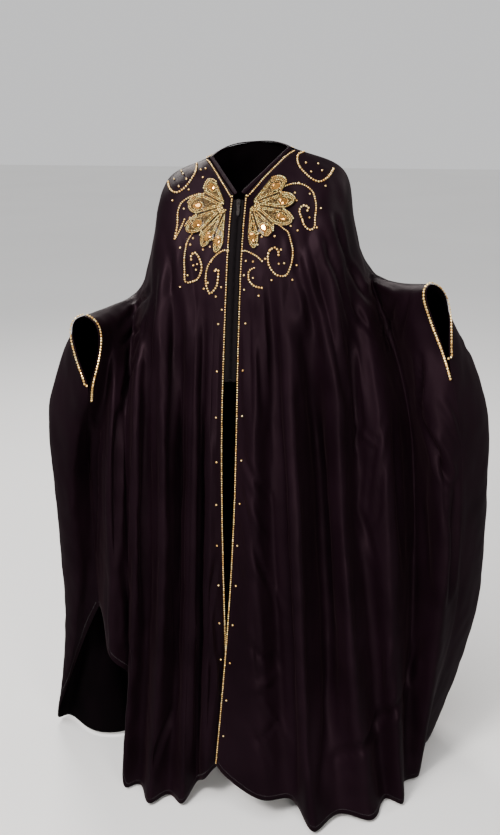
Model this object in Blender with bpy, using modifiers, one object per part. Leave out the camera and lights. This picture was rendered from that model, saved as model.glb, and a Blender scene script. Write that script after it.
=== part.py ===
"""A farasha abaya as it is worn, with both arms bent and raised a little.

The garment is two fronts and one back, cut wide enough to reach the wrists and joined along the
top of the arms and down the outer sides. Each panel is one wall of cloth. Its shape is a set of
fold lines that fall from the top edge to the hem, with a smooth curve through them at each level.
Metres, +Z up. The garment faces -Y and its right-hand side as seen from the front is +X. The
origin is midway between the two neck points, where the wearer's shoulders carry it.
"""
import math

import bmesh
import bpy
import numpy as np
from mathutils import Matrix, Vector

# ---- driving dimensions ----
HEM = -1.447  # lowest hem, measured from the shoulder point
MIDDLE = -0.62  # level of the fold tables' middle columns, at the upper thigh
LOW = -0.94  # level at which the wing sleeves swing sideways
WALL = 0.002  # cloth
SEAM_GAP = 0.0004  # between two pieces that meet
EDGE_FADE = 0.10  # share of the drop over which the top edge's own curve fades
FLAT_AT_SEAM = 0.003  # each side of a seam lies in one plane for this far
STRIPS = {"front_right": 3, "front_left": 3, "back": 2}  # columns from one fold to the next
SMALL_BEND = 0.0015  # a strip takes this much bend of the top edge before it is split
SEAM_STATIONS = 30  # points along a shoulder and arm seam, the same in both panels
CHEST = -0.24  # above this level the fronts lie smooth on the chest
CHEST_DEPTH = 0.150  # how far in front of the neck points the chest stands
CHEST_CURVE = 1.7  # how fast it rounds away to the sides
CHEST_SHARE = 0.55  # how far sideways a fold has gone by that level
CHEST_REACH = 0.09  # folds that start further than this past the neck point miss the chest
LEVELS = (0.006, 0.02, 0.045, 0.075, 0.11, 0.15, 0.195, 0.24, 0.29, 0.345, 0.40, 0.46,
          0.52, 0.585, 0.65, 0.72, 0.79, 0.86, 0.93, 1.0)  # rows, as shares of the drop

# The top edge of each side, from the middle of the neck to the wrist.
# round: how far the cloth stands out over the shoulder or arm before it falls.
# front, back: compass headings in plan, in degrees from +X, in which the two panels fall away.
TOP_COLUMNS = ("place", "x", "y", "z", "round", "front", "back")
TOP_RIGHT = (
    ("neck side", 0.088, 0.008, 0.010, 0.020, -90, 90),
    ("shoulder", 0.191, 0.035, -0.034, 0.045, -90, 92),
    ("upper arm", 0.212, 0.070, -0.140, 0.038, -84, 102),
    ("above elbow", 0.230, 0.096, -0.218, 0.030, -88, 96),
    ("elbow", 0.248, 0.096, -0.252, 0.028, -96, 76),
    ("forearm", 0.300, 0.030, -0.262, 0.034, -122, 46),
    ("wrist", 0.376, -0.067, -0.247, 0.028, -143, 37),
)
TOP_LEFT = (
    ("neck side", -0.085, -0.004, -0.010, 0.020, -90, 90),
    ("shoulder", -0.171, 0.000, -0.052, 0.045, -90, 88),
    ("upper arm", -0.205, 0.028, -0.175, 0.038, -94, 78),
    ("above elbow", -0.235, 0.050, -0.264, 0.032, -88, 92),
    ("elbow", -0.257, 0.040, -0.302, 0.030, -78, 114),
    ("forearm", -0.290, -0.050, -0.314, 0.036, -50, 146),
    ("wrist", -0.315, -0.164, -0.312, 0.036, -16, 164),
)
NECK_FRONT_RIGHT = (0.0065, -0.113, -0.072)  # where the zip begins, each side of it
NECK_FRONT_LEFT = (-0.0165, -0.114, -0.074)
NAPE = (0.001, 0.072, 0.018)
NAPE_HALF_WIDTH = 0.050

# Where the wrist opening ends and the side seam begins.
OPENING_END_RIGHT = (0.416, -0.071, -0.395)
OPENING_END_LEFT = (-0.303, -0.192, -0.450)

# One row for each fold line. top: where it starts, as a share of the top edge from the neck's middle.
# x, y: where the fold passes the middle level. hem_x, hem_y, hem_z: where it ends.
# swing: how far to the right the fold hangs of its straight fall, at the low level.
FOLD_COLUMNS = ("fold", "top", "x", "y", "hem_x", "hem_y", "hem_z", "swing")
FRONT_RIGHT_FOLDS = (
    ("zip edge", 0.000, -0.005, -0.187, -0.052, -0.192, -1.335, 0.000),
    ("placket", 0.018, 0.009, -0.189, -0.034, -0.205, -1.350, 0.000),
    ("first crest", 0.072, 0.038, -0.203, 0.060, -0.235, -1.390, 0.000),
    ("first valley", 0.117, 0.068, -0.150, 0.125, -0.195, -1.405, 0.000),
    ("second crest", 0.176, 0.115, -0.187, 0.176, -0.257, HEM, 0.000),
    ("deep valley", 0.267, 0.156, -0.072, 0.228, -0.185, -1.440, 0.000),
    ("third crest", 0.339, 0.205, -0.138, 0.308, -0.197, HEM, 0.000),
    ("third valley", 0.456, 0.240, -0.070, 0.333, -0.110, HEM, 0.000),
    ("fourth crest", 0.586, 0.302, -0.100, 0.376, -0.132, HEM, 0.000),
    ("wing valley", 0.755, 0.362, 0.030, 0.378, -0.045, HEM, 0.008),
    ("wing crest", 0.911, 0.408, -0.078, 0.416, -0.022, HEM, 0.022),
    ("side seam", 0.000, 0.462, -0.045, 0.405, 0.062, -1.440, 0.028),
)
BACK_RIGHT_FOLDS = (
    ("wing edge", 0.948, 0.508, 0.020, 0.432, 0.105, HEM, 0.030),
    ("wing crest", 0.878, 0.530, 0.080, 0.452, 0.176, HEM, 0.030),
    ("wing valley", 0.779, 0.448, 0.124, 0.398, 0.222, HEM, 0.022),
    ("elbow crest", 0.660, 0.400, 0.208, 0.368, 0.302, HEM, 0.012),
    ("elbow valley", 0.560, 0.312, 0.176, 0.292, 0.255, HEM, 0.000),
    ("arm crest", 0.428, 0.260, 0.235, 0.262, 0.350, HEM, 0.000),
    ("arm valley", 0.323, 0.178, 0.178, 0.168, 0.268, HEM, 0.000),
    ("shoulder crest", 0.225, 0.128, 0.232, 0.120, 0.350, HEM, 0.000),
    ("shoulder valley", 0.119, 0.058, 0.188, 0.045, 0.282, HEM, 0.000),
    ("middle crest", 0.000, -0.005, 0.228, -0.030, 0.348, HEM, 0.000),
)
BACK_LEFT_FOLDS = (
    ("shoulder valley", 0.115, -0.066, 0.186, -0.102, 0.280, HEM, 0.000),
    ("shoulder crest", 0.230, -0.130, 0.224, -0.172, 0.338, HEM, 0.000),
    ("arm valley", 0.332, -0.182, 0.166, -0.222, 0.246, HEM, 0.000),
    ("arm crest", 0.447, -0.252, 0.196, -0.292, 0.290, HEM, 0.000),
    ("elbow valley", 0.556, -0.296, 0.118, -0.300, 0.178, HEM, 0.000),
    ("elbow crest", 0.644, -0.368, 0.118, -0.352, 0.145, HEM, 0.000),
    ("wing valley", 0.745, -0.386, 0.048, -0.325, 0.055, HEM, 0.008),
    ("wing fold", 0.813, -0.410, 0.000, -0.420, 0.040, HEM, 0.020),
    ("tip behind", 0.867, -0.434, -0.050, -0.495, 0.112, HEM, 0.030),
    ("wing tip", 0.915, -0.428, -0.096, -0.523, 0.078, HEM, 0.034),
    ("outer strip", 0.965, -0.366, -0.150, -0.485, 0.040, -1.350, 0.034),
)
FRONT_LEFT_FOLDS = (
    ("side seam", 0.000, -0.343, -0.100, -0.345, -0.070, -1.020, 0.000),
    ("inner valley", 0.923, -0.308, -0.128, -0.322, -0.112, -1.040, 0.000),
    ("strip crest", 0.805, -0.270, -0.190, -0.294, -0.176, -1.090, 0.000),
    ("strip valley", 0.686, -0.242, -0.157, -0.256, -0.138, -1.160, 0.000),
    ("fourth crest", 0.567, -0.214, -0.198, -0.281, -0.168, HEM, 0.000),
    ("fourth valley", 0.449, -0.190, -0.158, -0.244, -0.140, HEM, 0.000),
    ("third crest", 0.343, -0.150, -0.207, -0.208, -0.214, HEM, 0.000),
    ("deep valley", 0.237, -0.122, -0.142, -0.168, -0.166, HEM, 0.000),
    ("second crest", 0.158, -0.094, -0.209, -0.130, -0.204, HEM, 0.000),
    ("first valley", 0.106, -0.074, -0.176, -0.104, -0.156, -1.415, 0.000),
    ("first crest", 0.059, -0.056, -0.206, -0.078, -0.190, -1.380, 0.000),
    ("placket", 0.018, -0.043, -0.199, -0.056, -0.176, -1.356, 0.000),
    ("zip edge", 0.000, -0.031, -0.191, -0.026, -0.150, -1.350, 0.000),
)

# Neck binding: a flat tape folded over the neck edge.
BINDING_WIDTH = 0.008
BINDING_THICKNESS = 0.0026

# Closed zip between the fronts, and the open slit below it.
ZIP_BELOW_NECK = 0.008
ZIP_END = -0.435
TAPE_WALL = 0.0012
TAPE_GAP = 0.0013
ZIP_ROWS = 14
SLIDER = (0.0085, 0.0034, 0.0120)
PULL_WIDTH = 0.0056
PULL_LENGTH = 0.0250
PULL_THICKNESS = 0.0012
PULL_EYE = 0.0032
PULL_EYE_LENGTH = 0.0046
PIN_RADIUS = 0.0005
BRIDGE_WIDTH = 0.0018
BRIDGE_WALL = 0.0008
BRIDGE_INSIDE = (0.0024, 0.0034)
STOP = (0.0070, 0.0022, 0.0040)

# Applique leaves beside the neck: five lobes that fan out from one point.
# tip_x, tip_z: the lobe's tip, measured from that point as the front lies. half_angle: its width.
MOTIF_COLUMNS = ("lobe", "tip_x", "tip_z", "half_angle")
MOTIF_RIGHT_BASE = (0.0160, -0.090)
MOTIF_RIGHT = (
    ("upper", 0.064, 0.044, 18),
    ("side", 0.086, 0.006, 14),
    ("middle", 0.084, -0.034, 14),
    ("lower", 0.040, -0.060, 15),
    ("last", 0.011, -0.084, 10),
)
MOTIF_LEFT_BASE = (-0.0300, -0.094)
MOTIF_LEFT = (
    ("upper", -0.046, 0.044, 16),
    ("side", -0.082, -0.004, 14),
    ("middle", -0.082, -0.050, 14),
    ("lower", -0.047, -0.080, 13),
    ("last", -0.020, -0.090, 11),
)
MOTIF_WALL = 0.0016
MOTIF_LIFT = 0.0012
MOTIF_NOTCH = 0.74  # how far out the notch between two lobes lies
CRYSTAL_PLACE = 0.70
CRYSTAL_HEIGHT = 0.0030
RIM_HEIGHT = 0.0010
STEPS_PER_LOBE = 8
MOTIF_RINGS = (0.10, 0.34, 0.52, 0.64, 0.76, 0.88, 1.0)


# ---- curves ----
def table(rows, columns):
    """The rows of a table as dictionaries, one for each row."""
    return [dict(zip(columns, row)) for row in rows]


def ease(value):
    value = min(max(value, 0.0), 1.0)
    return value * value * (3 - 2 * value)


class Falling:
    """A curve through points of falling height that never overshoots between them."""

    def __init__(self, points):
        self.points = np.array(points, float)
        self.z = self.points[:, 2]
        steps = np.diff(self.z)
        slopes = np.diff(self.points[:, :2], axis=0) / steps[:, None]
        inner = np.zeros((len(points), 2))
        both = slopes[:-1] * slopes[1:] > 0
        with np.errstate(divide="ignore", invalid="ignore"):
            mean = 2 / (1 / slopes[:-1] + 1 / slopes[1:])
        inner[1:-1] = np.where(both, mean, 0.0)
        inner[0] = slopes[0] * 1.6
        inner[-1] = slopes[-1] * 1.4
        self.slopes = inner

    def at(self, z):
        last = len(self.z) - 2
        i = min(max(int(np.searchsorted(-self.z, -z)) - 1, 0), last)
        h = self.z[i + 1] - self.z[i]
        s = (z - self.z[i]) / h
        value = (
            (2 * s**3 - 3 * s**2 + 1) * self.points[i, :2]
            + (s**3 - 2 * s**2 + s) * h * self.slopes[i]
            + (3 * s**2 - 2 * s**3) * self.points[i + 1, :2]
            + (s**3 - s**2) * h * self.slopes[i + 1]
        )
        return np.array([value[0], value[1], z])


def through(points, k):
    """Centripetal Catmull-Rom curve through points, at index k, and its direction there."""
    last = len(points) - 1
    i = min(max(int(math.floor(k)), 0), last - 1)
    p1 = points[i]
    p2 = points[i + 1]
    p0 = points[i - 1] if i > 0 else 2 * p1 - p2
    p3 = points[i + 2] if i + 2 <= last else 2 * p2 - p1
    d01, d12, d23 = (max(math.sqrt(np.linalg.norm(b - a)), 1e-4)
                     for a, b in ((p0, p1), (p1, p2), (p2, p3)))
    m1 = (p2 - p1) + d12 * ((p1 - p0) / d01 - (p2 - p0) / (d01 + d12))
    m2 = (p2 - p1) + d12 * ((p3 - p2) / d23 - (p3 - p1) / (d12 + d23))
    s = k - i
    value = ((2 * s**3 - 3 * s**2 + 1) * p1 + (s**3 - 2 * s**2 + s) * m1
             + (3 * s**2 - 2 * s**3) * p2 + (s**3 - s**2) * m2)
    slope = ((6 * s**2 - 6 * s) * p1 + (3 * s**2 - 4 * s + 1) * m1
             + (6 * s - 6 * s**2) * p2 + (3 * s**2 - 2 * s) * m2)
    return value, slope


class TopEdge:
    """The upper edge of a panel: a neckline from the middle, then the shoulder and arm."""

    def __init__(self, neckline, rows):
        rows = table(rows, TOP_COLUMNS)
        self.points = [np.array(point, float) for point in neckline]
        self.rounds = [0.0] * len(neckline)
        self.headings = {name: [rows[0][name]] * len(neckline) for name in ("front", "back")}
        self.neck_index = len(neckline)
        for row in rows:
            self.points.append(np.array([row["x"], row["y"], row["z"]]))
            self.rounds.append(row["round"])
            for name, headings in self.headings.items():
                headings.append(row[name])
        self.fine = np.linspace(0, len(self.points) - 1, 40 * (len(self.points) - 1) + 1)
        places = np.array([self.curve(k) for k in self.fine])
        steps = np.linalg.norm(np.diff(places, axis=0), axis=1)
        self.lengths = np.concatenate([[0], np.cumsum(steps)])
        self.length = self.lengths[-1]
        self.neck = float(np.interp(self.neck_index, self.fine, self.lengths))

    def curve(self, k):
        """Straight runs meet at the neck point, so each side of it is a curve of its own."""
        split = self.neck_index
        if k <= split:
            return through(self.points[: split + 1], k)[0]
        return through(self.points[split:], k - split)[0]

    def at(self, distance, side=0):
        """Point, unit heading of the front (side 1), back (-1) or seam (0, pointing forwards), and
        roundness at a distance from the middle."""
        k = float(np.interp(distance, self.lengths, self.fine))
        whole = range(len(self.points))
        ways = {}
        for name, headings in self.headings.items():
            angle = math.radians(float(np.interp(k, whole, headings)))
            ways[name] = np.array([math.cos(angle), math.sin(angle), 0.0])
        seam = ways["front"] - ways["back"]
        way = {1: ways["front"], -1: ways["back"], 0: seam / np.linalg.norm(seam)}[side]
        rounded = float(np.interp(k, whole, self.rounds))
        return self.curve(k), way, rounded

    def stations(self):
        """Distances of the shared points of the seam, from the neck point to the wrist."""
        return np.linspace(self.neck, self.length, SEAM_STATIONS)

    def seam(self, distance):
        """Point and heading on the straight runs between the shared points, where there is a seam."""
        point, heading, _ = self.at(distance)
        if distance <= self.neck:
            return point, heading
        stops = self.stations()
        i = min(int(np.searchsorted(stops, distance)) - 1, len(stops) - 2)
        share = (distance - stops[i]) / (stops[i + 1] - stops[i])
        ends = [self.at(stop) for stop in stops[i : i + 2]]
        return ends[0][0] * (1 - share) + ends[1][0] * share, heading

    def normal(self, distance):
        """Which way the cloth faces at its seam, on both sides of it."""
        near, far = (self.at(min(max(distance + step, 0), self.length))[0] for step in (-0.02, 0.02))
        normal = np.cross(far - near, self.at(distance)[1])
        normal /= np.linalg.norm(normal)
        return normal if normal[2] > 0 else -normal


class FoldLine:
    """One fold, from the top edge down to the hem."""

    def __init__(self, row, edge, side, opening_end=None):
        self.side = side
        self.edge = edge
        self.open = opening_end is not None
        self.distance = edge.length * (1.0 if self.open else row["top"])
        self.start, self.out, self.round = edge.at(self.distance, side)
        middle = np.array([row["x"], row["y"], MIDDLE])
        nodes = [self.start]
        if self.open:
            nodes.append(np.array(opening_end))
        elif side > 0 and self.distance < edge.neck + CHEST_REACH:
            x = self.start[0] + (middle[0] - self.start[0]) * CHEST_SHARE
            nodes.append(np.array([x, CHEST_CURVE * x * x - CHEST_DEPTH, CHEST]))
        nodes.append(middle)
        nodes.append(np.array([row["hem_x"], row["hem_y"], row["hem_z"]]))
        self.curve = Falling(nodes)
        if row["swing"]:
            nodes.insert(-1, self.curve.at(LOW) + np.array([row["swing"], 0.0, 0.0]))
            self.curve = Falling(nodes)
        self.drop = self.start[2] - row["hem_z"]
        self.fade = self.start[2] - (opening_end[2] if self.open else MIDDLE)

    def at(self, level):
        depth = level * self.drop
        point = self.curve.at(self.start[2] - depth)
        if self.round > 0 and depth < self.fade:
            share = min(depth / self.round, 1.0)
            bulge = self.round * math.sqrt(1 - (1 - share) ** 2)
            point = point + self.out * bulge * (1 - (depth / self.fade) ** 2)
        return point


class Section:
    """All fold lines of the garment in order, and the panels that are cut from them."""

    def __init__(self):
        right = TopEdge([NECK_FRONT_RIGHT], TOP_RIGHT)
        left = TopEdge([NECK_FRONT_LEFT], TOP_LEFT)
        nape_right = (NAPE_HALF_WIDTH, NAPE[1] - 0.022, NAPE[2] + 0.002)
        nape_left = (-NAPE_HALF_WIDTH, NAPE[1] - 0.022, NAPE[2] - 0.006)
        back_right = TopEdge([NAPE, nape_right], TOP_RIGHT)
        back_left = TopEdge([NAPE, nape_left], TOP_LEFT)
        self.front_right = self.lines(FRONT_RIGHT_FOLDS, right, 1, OPENING_END_RIGHT)
        self.front_left = self.lines(FRONT_LEFT_FOLDS, left, 1, OPENING_END_LEFT)
        seam_right = self.lines(FRONT_RIGHT_FOLDS[-1:], back_right, -1, OPENING_END_RIGHT)
        seam_left = self.lines(FRONT_LEFT_FOLDS[:1], back_left, -1, OPENING_END_LEFT)
        self.back = (seam_right + self.lines(BACK_RIGHT_FOLDS, back_right, -1)
                     + self.lines(BACK_LEFT_FOLDS, back_left, -1) + seam_left)

    @staticmethod
    def lines(rows, edge, side, opening_end=None):
        made = []
        for row in table(rows, FOLD_COLUMNS):
            seam = row["fold"] == "side seam"
            made.append(FoldLine(row, edge, side, opening_end if seam else None))
        return made

    def panel(self, name):
        if name == "front_right":
            return Panel(self.front_right, after=self.back[1])
        if name == "front_left":
            return Panel(self.front_left, before=self.back[-2])
        return Panel(self.back, before=self.front_right[-2], after=self.front_left[1])


class Panel:
    """One piece of cloth. k runs across its fold lines, level from the top edge to the hem."""

    def __init__(self, lines, before=None, after=None):
        self.lines = lines
        self.before = before
        self.after = after
        self.last = len(lines) - 1

    def shared(self, level, line):
        """Below the wrist opening both panels turn the same way at the seam between them."""
        return line.at(level)[2] <= line.curve.z[1]

    def top(self, k):
        """The edge that column k hangs from, and its distance along that edge."""
        i = min(max(int(k), 0), self.last - 1)
        first, second = self.lines[i], self.lines[i + 1]
        share = k - i
        if first.edge is second.edge:
            return first.edge, first.distance + (second.distance - first.distance) * share
        signed = -first.distance + (second.distance + first.distance) * share
        return (first.edge, -signed) if signed < 0 else (second.edge, signed)

    def at(self, k, level):
        """Point at column k, and the direction across the folds there."""
        points = [line.at(level) for line in self.lines]
        shift = 0
        if self.before and self.shared(level, self.lines[0]):
            points.insert(0, self.before.at(level))
            shift = 1
        if self.after and self.shared(level, self.lines[-1]):
            points.append(self.after.at(level))
        point, slope = through(points, k + shift)
        near_top = max(1 - level / EDGE_FADE, 0.0) ** 2
        if near_top > 0:
            edge, distance = self.top(k)
            starts = [line.start for line in self.lines]
            point = point + (edge.at(distance)[0] - through(starts, k)[0]) * near_top
        return point, slope / max(np.linalg.norm(slope), 1e-9)

    def pieces(self, first, second):
        """How many strips the cloth between two columns takes, so that it follows its top edge."""
        ends = [self.top(first), self.top((first + second) / 2), self.top(second)]
        if any(edge is not ends[0][0] or distance < edge.neck for edge, distance in ends):
            return 1
        near, middle, far = (edge.at(distance)[0] for edge, distance in ends)
        bend = np.linalg.norm(middle - (near + far) / 2)
        return 1 if bend < SMALL_BEND else 2 if bend < 4 * SMALL_BEND else 4

    def columns(self, strips):
        """k of each column, and how far it is moved across where it is a side seam's own."""
        steps = []
        for i in range(self.last * strips):
            pieces = self.pieces(i / strips, (i + 1) / strips)
            steps += [((i + j / pieces) / strips, 0.0) for j in range(pieces)]
        steps.append((self.last, 0.0))
        if self.before:
            steps[0] = (0, SEAM_GAP / 2)
            steps.insert(1, (0, FLAT_AT_SEAM))
        if self.after:
            steps[-1] = (self.last, -SEAM_GAP / 2)
            steps.insert(-1, (self.last, -FLAT_AT_SEAM))
        return steps

    def lip(self, k):
        """The first row: level with a seam for a few millimetres, and just below a neckline."""
        edge, distance = self.top(k)
        point, heading = edge.seam(distance)
        flat = point + heading * self.lines[0].side * FLAT_AT_SEAM
        hung = self.at(k, LEVELS[0] / 2)[0]
        share = ease((distance - edge.neck + 0.02) / 0.02)
        return hung * (1 - share) + flat * share

    def grid(self, strips, levels):
        """Rows of points from just below the top edge to the hem."""
        columns = self.columns(strips)
        rows = []
        lips = [self.lip(k) for k, _ in columns]
        for i, (_, past) in enumerate(columns):
            if past:
                j = i + 1 if i < 2 else i - 1
                across = lips[j] - lips[i]
                size = np.linalg.norm(across)
                if size > 1e-6:
                    lips[i] = lips[i] + across / size * abs(past)
        rows.append(lips)
        for level in levels:
            row = []
            for k, past in columns:
                point, slope = self.at(k, level)
                row.append(point + slope * past)
            rows.append(row)
        return np.array(rows)

    def top_row(self, strips, lip_normals):
        """The top edge and its normals: the panel's own columns at a neckline, and points that
        both panels share at a seam."""
        side = self.lines[0].side
        found = []
        for i, (k, _) in enumerate(self.columns(strips)):
            edge, distance = self.top(k)
            if distance < edge.neck - 0.001:
                found.append((k, edge.at(distance)[0], lip_normals[i]))
        edges = []
        for line in self.lines:
            if line.edge not in edges:
                edges.append(line.edge)
        for edge in edges:
            for distance in edge.stations():
                point, heading, _ = edge.at(distance)
                point = point + heading * side * SEAM_GAP / 2
                found.append((self.column_at(edge, distance), point, edge.normal(distance)))
        found.sort(key=lambda place: place[0])
        return np.array([place[1] for place in found]), np.array([place[2] for place in found])

    def wall(self, strips, levels, thickness):
        """Outer and inner points of the cloth: its grid and its top edge."""
        grid = self.grid(strips, levels)
        normals = Facets(grid).normals.reshape(grid.shape)
        if normals[:, :, 1].sum() * self.lines[0].side > 0:
            normals = -normals
        for i, (k, _) in enumerate(self.columns(strips)):
            edge, distance = self.top(k)
            share = ease((distance - edge.neck + 0.02) / 0.02)
            mean = normals[0, i] + edge.normal(distance) * share
            normals[0, i] = mean / np.linalg.norm(mean)
        for column, line, ready in ((0, self.lines[0], self.before), (-1, self.lines[-1], self.after)):
            for row in range(1, len(levels) + 1):
                level = levels[row - 1]
                if not (ready and self.shared(level, line)):
                    continue
                slope = self.at(0 if column == 0 else self.last, level)[1]
                down = line.at(min(level + 0.02, 1)) - line.at(level - 0.02)
                normal = np.cross(slope, down)
                normal /= np.linalg.norm(normal)
                normal *= np.sign(normal.dot(normals[row, column]))
                normals[row, column] = normal
        top, top_normals = self.top_row(strips, normals[0])
        return grid, grid - normals * thickness, top, top - top_normals * thickness

    def column_at(self, edge, distance):
        """k of the column that hangs from a distance along one of the panel's top edges."""
        steps = [(line.distance, k) for k, line in enumerate(self.lines) if line.edge is edge]
        if steps[0][0] > steps[-1][0]:
            steps = steps[::-1]
        return float(np.interp(distance, [step[0] for step in steps], [step[1] for step in steps]))


class Facets:
    """The outer side of a panel as it is built, so that a piece can lie on it."""

    def __init__(self, grid):
        height, width = grid.shape[:2]
        points = grid.reshape(-1, 3)
        self.points = points
        index = np.arange(height * width).reshape(height, width)
        a = index[:-1, :-1].ravel()
        b = index[1:, :-1].ravel()
        c = index[1:, 1:].ravel()
        d = index[:-1, 1:].ravel()
        self.triangles = np.concatenate([np.stack([a, b, c], 1), np.stack([a, c, d], 1)])
        corners = points[self.triangles]
        normals = np.cross(corners[:, 1] - corners[:, 0], corners[:, 2] - corners[:, 0])
        self.normals = np.zeros_like(points)
        for corner in range(3):
            np.add.at(self.normals, self.triangles[:, corner], normals)
        self.normals /= np.linalg.norm(self.normals, axis=1)[:, None]

    def frame(self, x, z):
        """The point seen from the front at x and z, and the outward normal there."""
        flat = self.points[:, [0, 2]][self.triangles]
        edge1 = flat[:, 1] - flat[:, 0]
        edge2 = flat[:, 2] - flat[:, 0]
        area = edge1[:, 0] * edge2[:, 1] - edge1[:, 1] * edge2[:, 0]
        away = np.array([x, z]) - flat[:, 0]
        area = np.where(np.abs(area) < 1e-12, 1e-12, area)
        u = (away[:, 0] * edge2[:, 1] - away[:, 1] * edge2[:, 0]) / area
        v = (edge1[:, 0] * away[:, 1] - edge1[:, 1] * away[:, 0]) / area
        inside = np.flatnonzero((u > -1e-6) & (v > -1e-6) & (u + v < 1 + 1e-6))
        if len(inside) == 0:
            raise ValueError(f"no cloth at x {x:.3f}, z {z:.3f}")
        shares = np.stack([1 - u - v, u, v], 1)[inside]
        places = (self.points[self.triangles[inside]] * shares[:, :, None]).sum(1)
        normals = (self.normals[self.triangles[inside]] * shares[:, :, None]).sum(1)
        first = places[:, 1].argmin()
        normal = normals[first] / np.linalg.norm(normals[first])
        return places[first], -normal if normal[1] > 0 else normal


# ---- meshes ----
def material(name, colour, roughness, metallic=0.0):
    made = bpy.data.materials.new(name)
    made.use_nodes = True
    shader = made.node_tree.nodes["Principled BSDF"]
    shader.inputs["Base Color"].default_value = (*colour, 1)
    shader.inputs["Roughness"].default_value = roughness
    shader.inputs["Metallic"].default_value = metallic
    return made


def add_object(name, bm, look, smooth=True):
    bmesh.ops.recalc_face_normals(bm, faces=bm.faces)
    mesh = bpy.data.meshes.new(name)
    bm.to_mesh(mesh)
    bm.free()
    if smooth:
        mesh.shade_smooth()
    mesh.materials.append(look)
    made = bpy.data.objects.new(name, mesh)
    garment.objects.link(made)
    return made


def sheet_mesh(grid, outward):
    """An open sheet through a grid of points, with its faces turned towards outward(point)."""
    bm = bmesh.new()
    rows = [[bm.verts.new(point) for point in row] for row in grid]
    for upper, lower in zip(rows, rows[1:]):
        for i in range(len(upper) - 1):
            bm.faces.new((upper[i], lower[i], lower[i + 1]))
            bm.faces.new((upper[i], lower[i + 1], upper[i + 1]))
    bm.normal_update()
    votes = sum(face.normal.dot(Vector(outward(face.calc_center_median()))) for face in bm.faces)
    if votes < 0:
        bmesh.ops.reverse_faces(bm, faces=bm.faces)
    return bm


def add_cloth(name, grid, outward, look, wall):
    """A wall of cloth whose outer side passes through the grid."""
    bm = sheet_mesh(grid, outward)
    mesh = bpy.data.meshes.new(name)
    bm.to_mesh(mesh)
    bm.free()
    mesh.shade_smooth()
    mesh.materials.append(look)
    made = bpy.data.objects.new(name, mesh)
    garment.objects.link(made)
    thickness = made.modifiers.new("Cloth thickness", "SOLIDIFY")
    thickness.thickness = wall
    thickness.offset = -1
    return made


def loft(sections, closed=False):
    """A solid through rings of points that all have the same number of points."""
    bm = bmesh.new()
    rings = [[bm.verts.new(point) for point in section] for section in sections]
    count = len(rings[0])
    pairs = list(zip(rings, rings[1:]))
    if closed:
        pairs.append((rings[-1], rings[0]))
    for first, second in pairs:
        for i in range(count):
            j = (i + 1) % count
            bm.faces.new((first[i], first[j], second[j], second[i]))
    if not closed:
        bm.faces.new(rings[0])
        bm.faces.new(rings[-1])
    return bm


def joined_rows(upper, lower):
    """Triangles between two rows of points that may differ in number, as (row, index) corners."""
    found = []
    i = j = 0
    while i < len(upper) - 1 or j < len(lower) - 1:
        if j == len(lower) - 1:
            along_upper = True
        elif i == len(upper) - 1:
            along_upper = False
        else:
            along_upper = (np.linalg.norm(upper[i + 1] - lower[j])
                           < np.linalg.norm(upper[i] - lower[j + 1]))
        if along_upper:
            found.append(((0, i), (1, j), (0, i + 1)))
            i += 1
        else:
            found.append(((0, i), (1, j), (1, j + 1)))
            j += 1
    return found


def wall_mesh(outer, inner, top=None, inner_top=None):
    """A closed wall between two grids of points of one size, with a top edge if it has one."""
    bm = bmesh.new()
    sides = []
    corners = joined_rows(top, outer[0]) if top is not None else []
    for grid, edge in ((outer, top), (inner, inner_top)):
        rows = [[bm.verts.new(point) for point in row] for row in grid]
        for upper, lower in zip(rows, rows[1:]):
            for i in range(len(upper) - 1):
                bm.faces.new((upper[i], lower[i], lower[i + 1]))
                bm.faces.new((upper[i], lower[i + 1], upper[i + 1]))
        border = rows[0]
        if edge is not None:
            border = [bm.verts.new(point) for point in edge]
            for triangle in corners:
                bm.faces.new([(border, rows[0])[row][index] for row, index in triangle])
        left = [row[0] for row in rows]
        right = [row[-1] for row in rows]
        if edge is None:
            left, right = left[1:], right[1:]
        sides.append(border + right + rows[-1][::-1][1:] + left[::-1][1:])
    first, second = sides
    for i in range(len(first)):
        j = (i + 1) % len(first)
        high, low = (i, j) if first[i].co.z >= first[j].co.z else (j, i)
        bm.faces.new((first[high], first[low], second[low]))
        bm.faces.new((first[high], second[low], second[high]))
    return bm


def box_mesh(size, place, bevel=0.0):
    bm = bmesh.new()
    bmesh.ops.create_cube(bm, size=1)
    bmesh.ops.scale(bm, vec=size, verts=bm.verts)
    if bevel:
        bmesh.ops.bevel(bm, geom=bm.edges, offset=bevel, segments=2, profile=0.5, affect="EDGES")
    bmesh.ops.translate(bm, vec=place, verts=bm.verts)
    return bm


# ---- pieces ----
def make_panels(section, cloth):
    """The three panels. Returns their outer grids and the points of their top edges."""
    grids, tops = {}, {}
    for name, strips in STRIPS.items():
        outer, inner, top, inner_top = section.panel(name).wall(strips, LEVELS, WALL)
        grids[name], tops[name] = outer, top
        add_object(name, wall_mesh(outer, inner, top, inner_top), cloth)
    return grids, tops


def neck_path(tops):
    """The neck edge, from the right front's zip round the nape to the left front's."""
    right, left = (np.array(rows[0][1:4]) for rows in (TOP_RIGHT, TOP_LEFT))
    path = [point for point in tops["front_right"] if point[0] < right[0] - 0.004 and point[1] < 0]
    path.append(right * 0.985)
    path += [p for p in tops["back"] if left[0] + 0.01 < p[0] < right[0] - 0.01 and p[1] > 0.01]
    path.append(left * 0.985)
    path += [point for point in tops["front_left"] if point[0] > left[0] + 0.004 and point[1] < -0.006]
    return path


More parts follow.
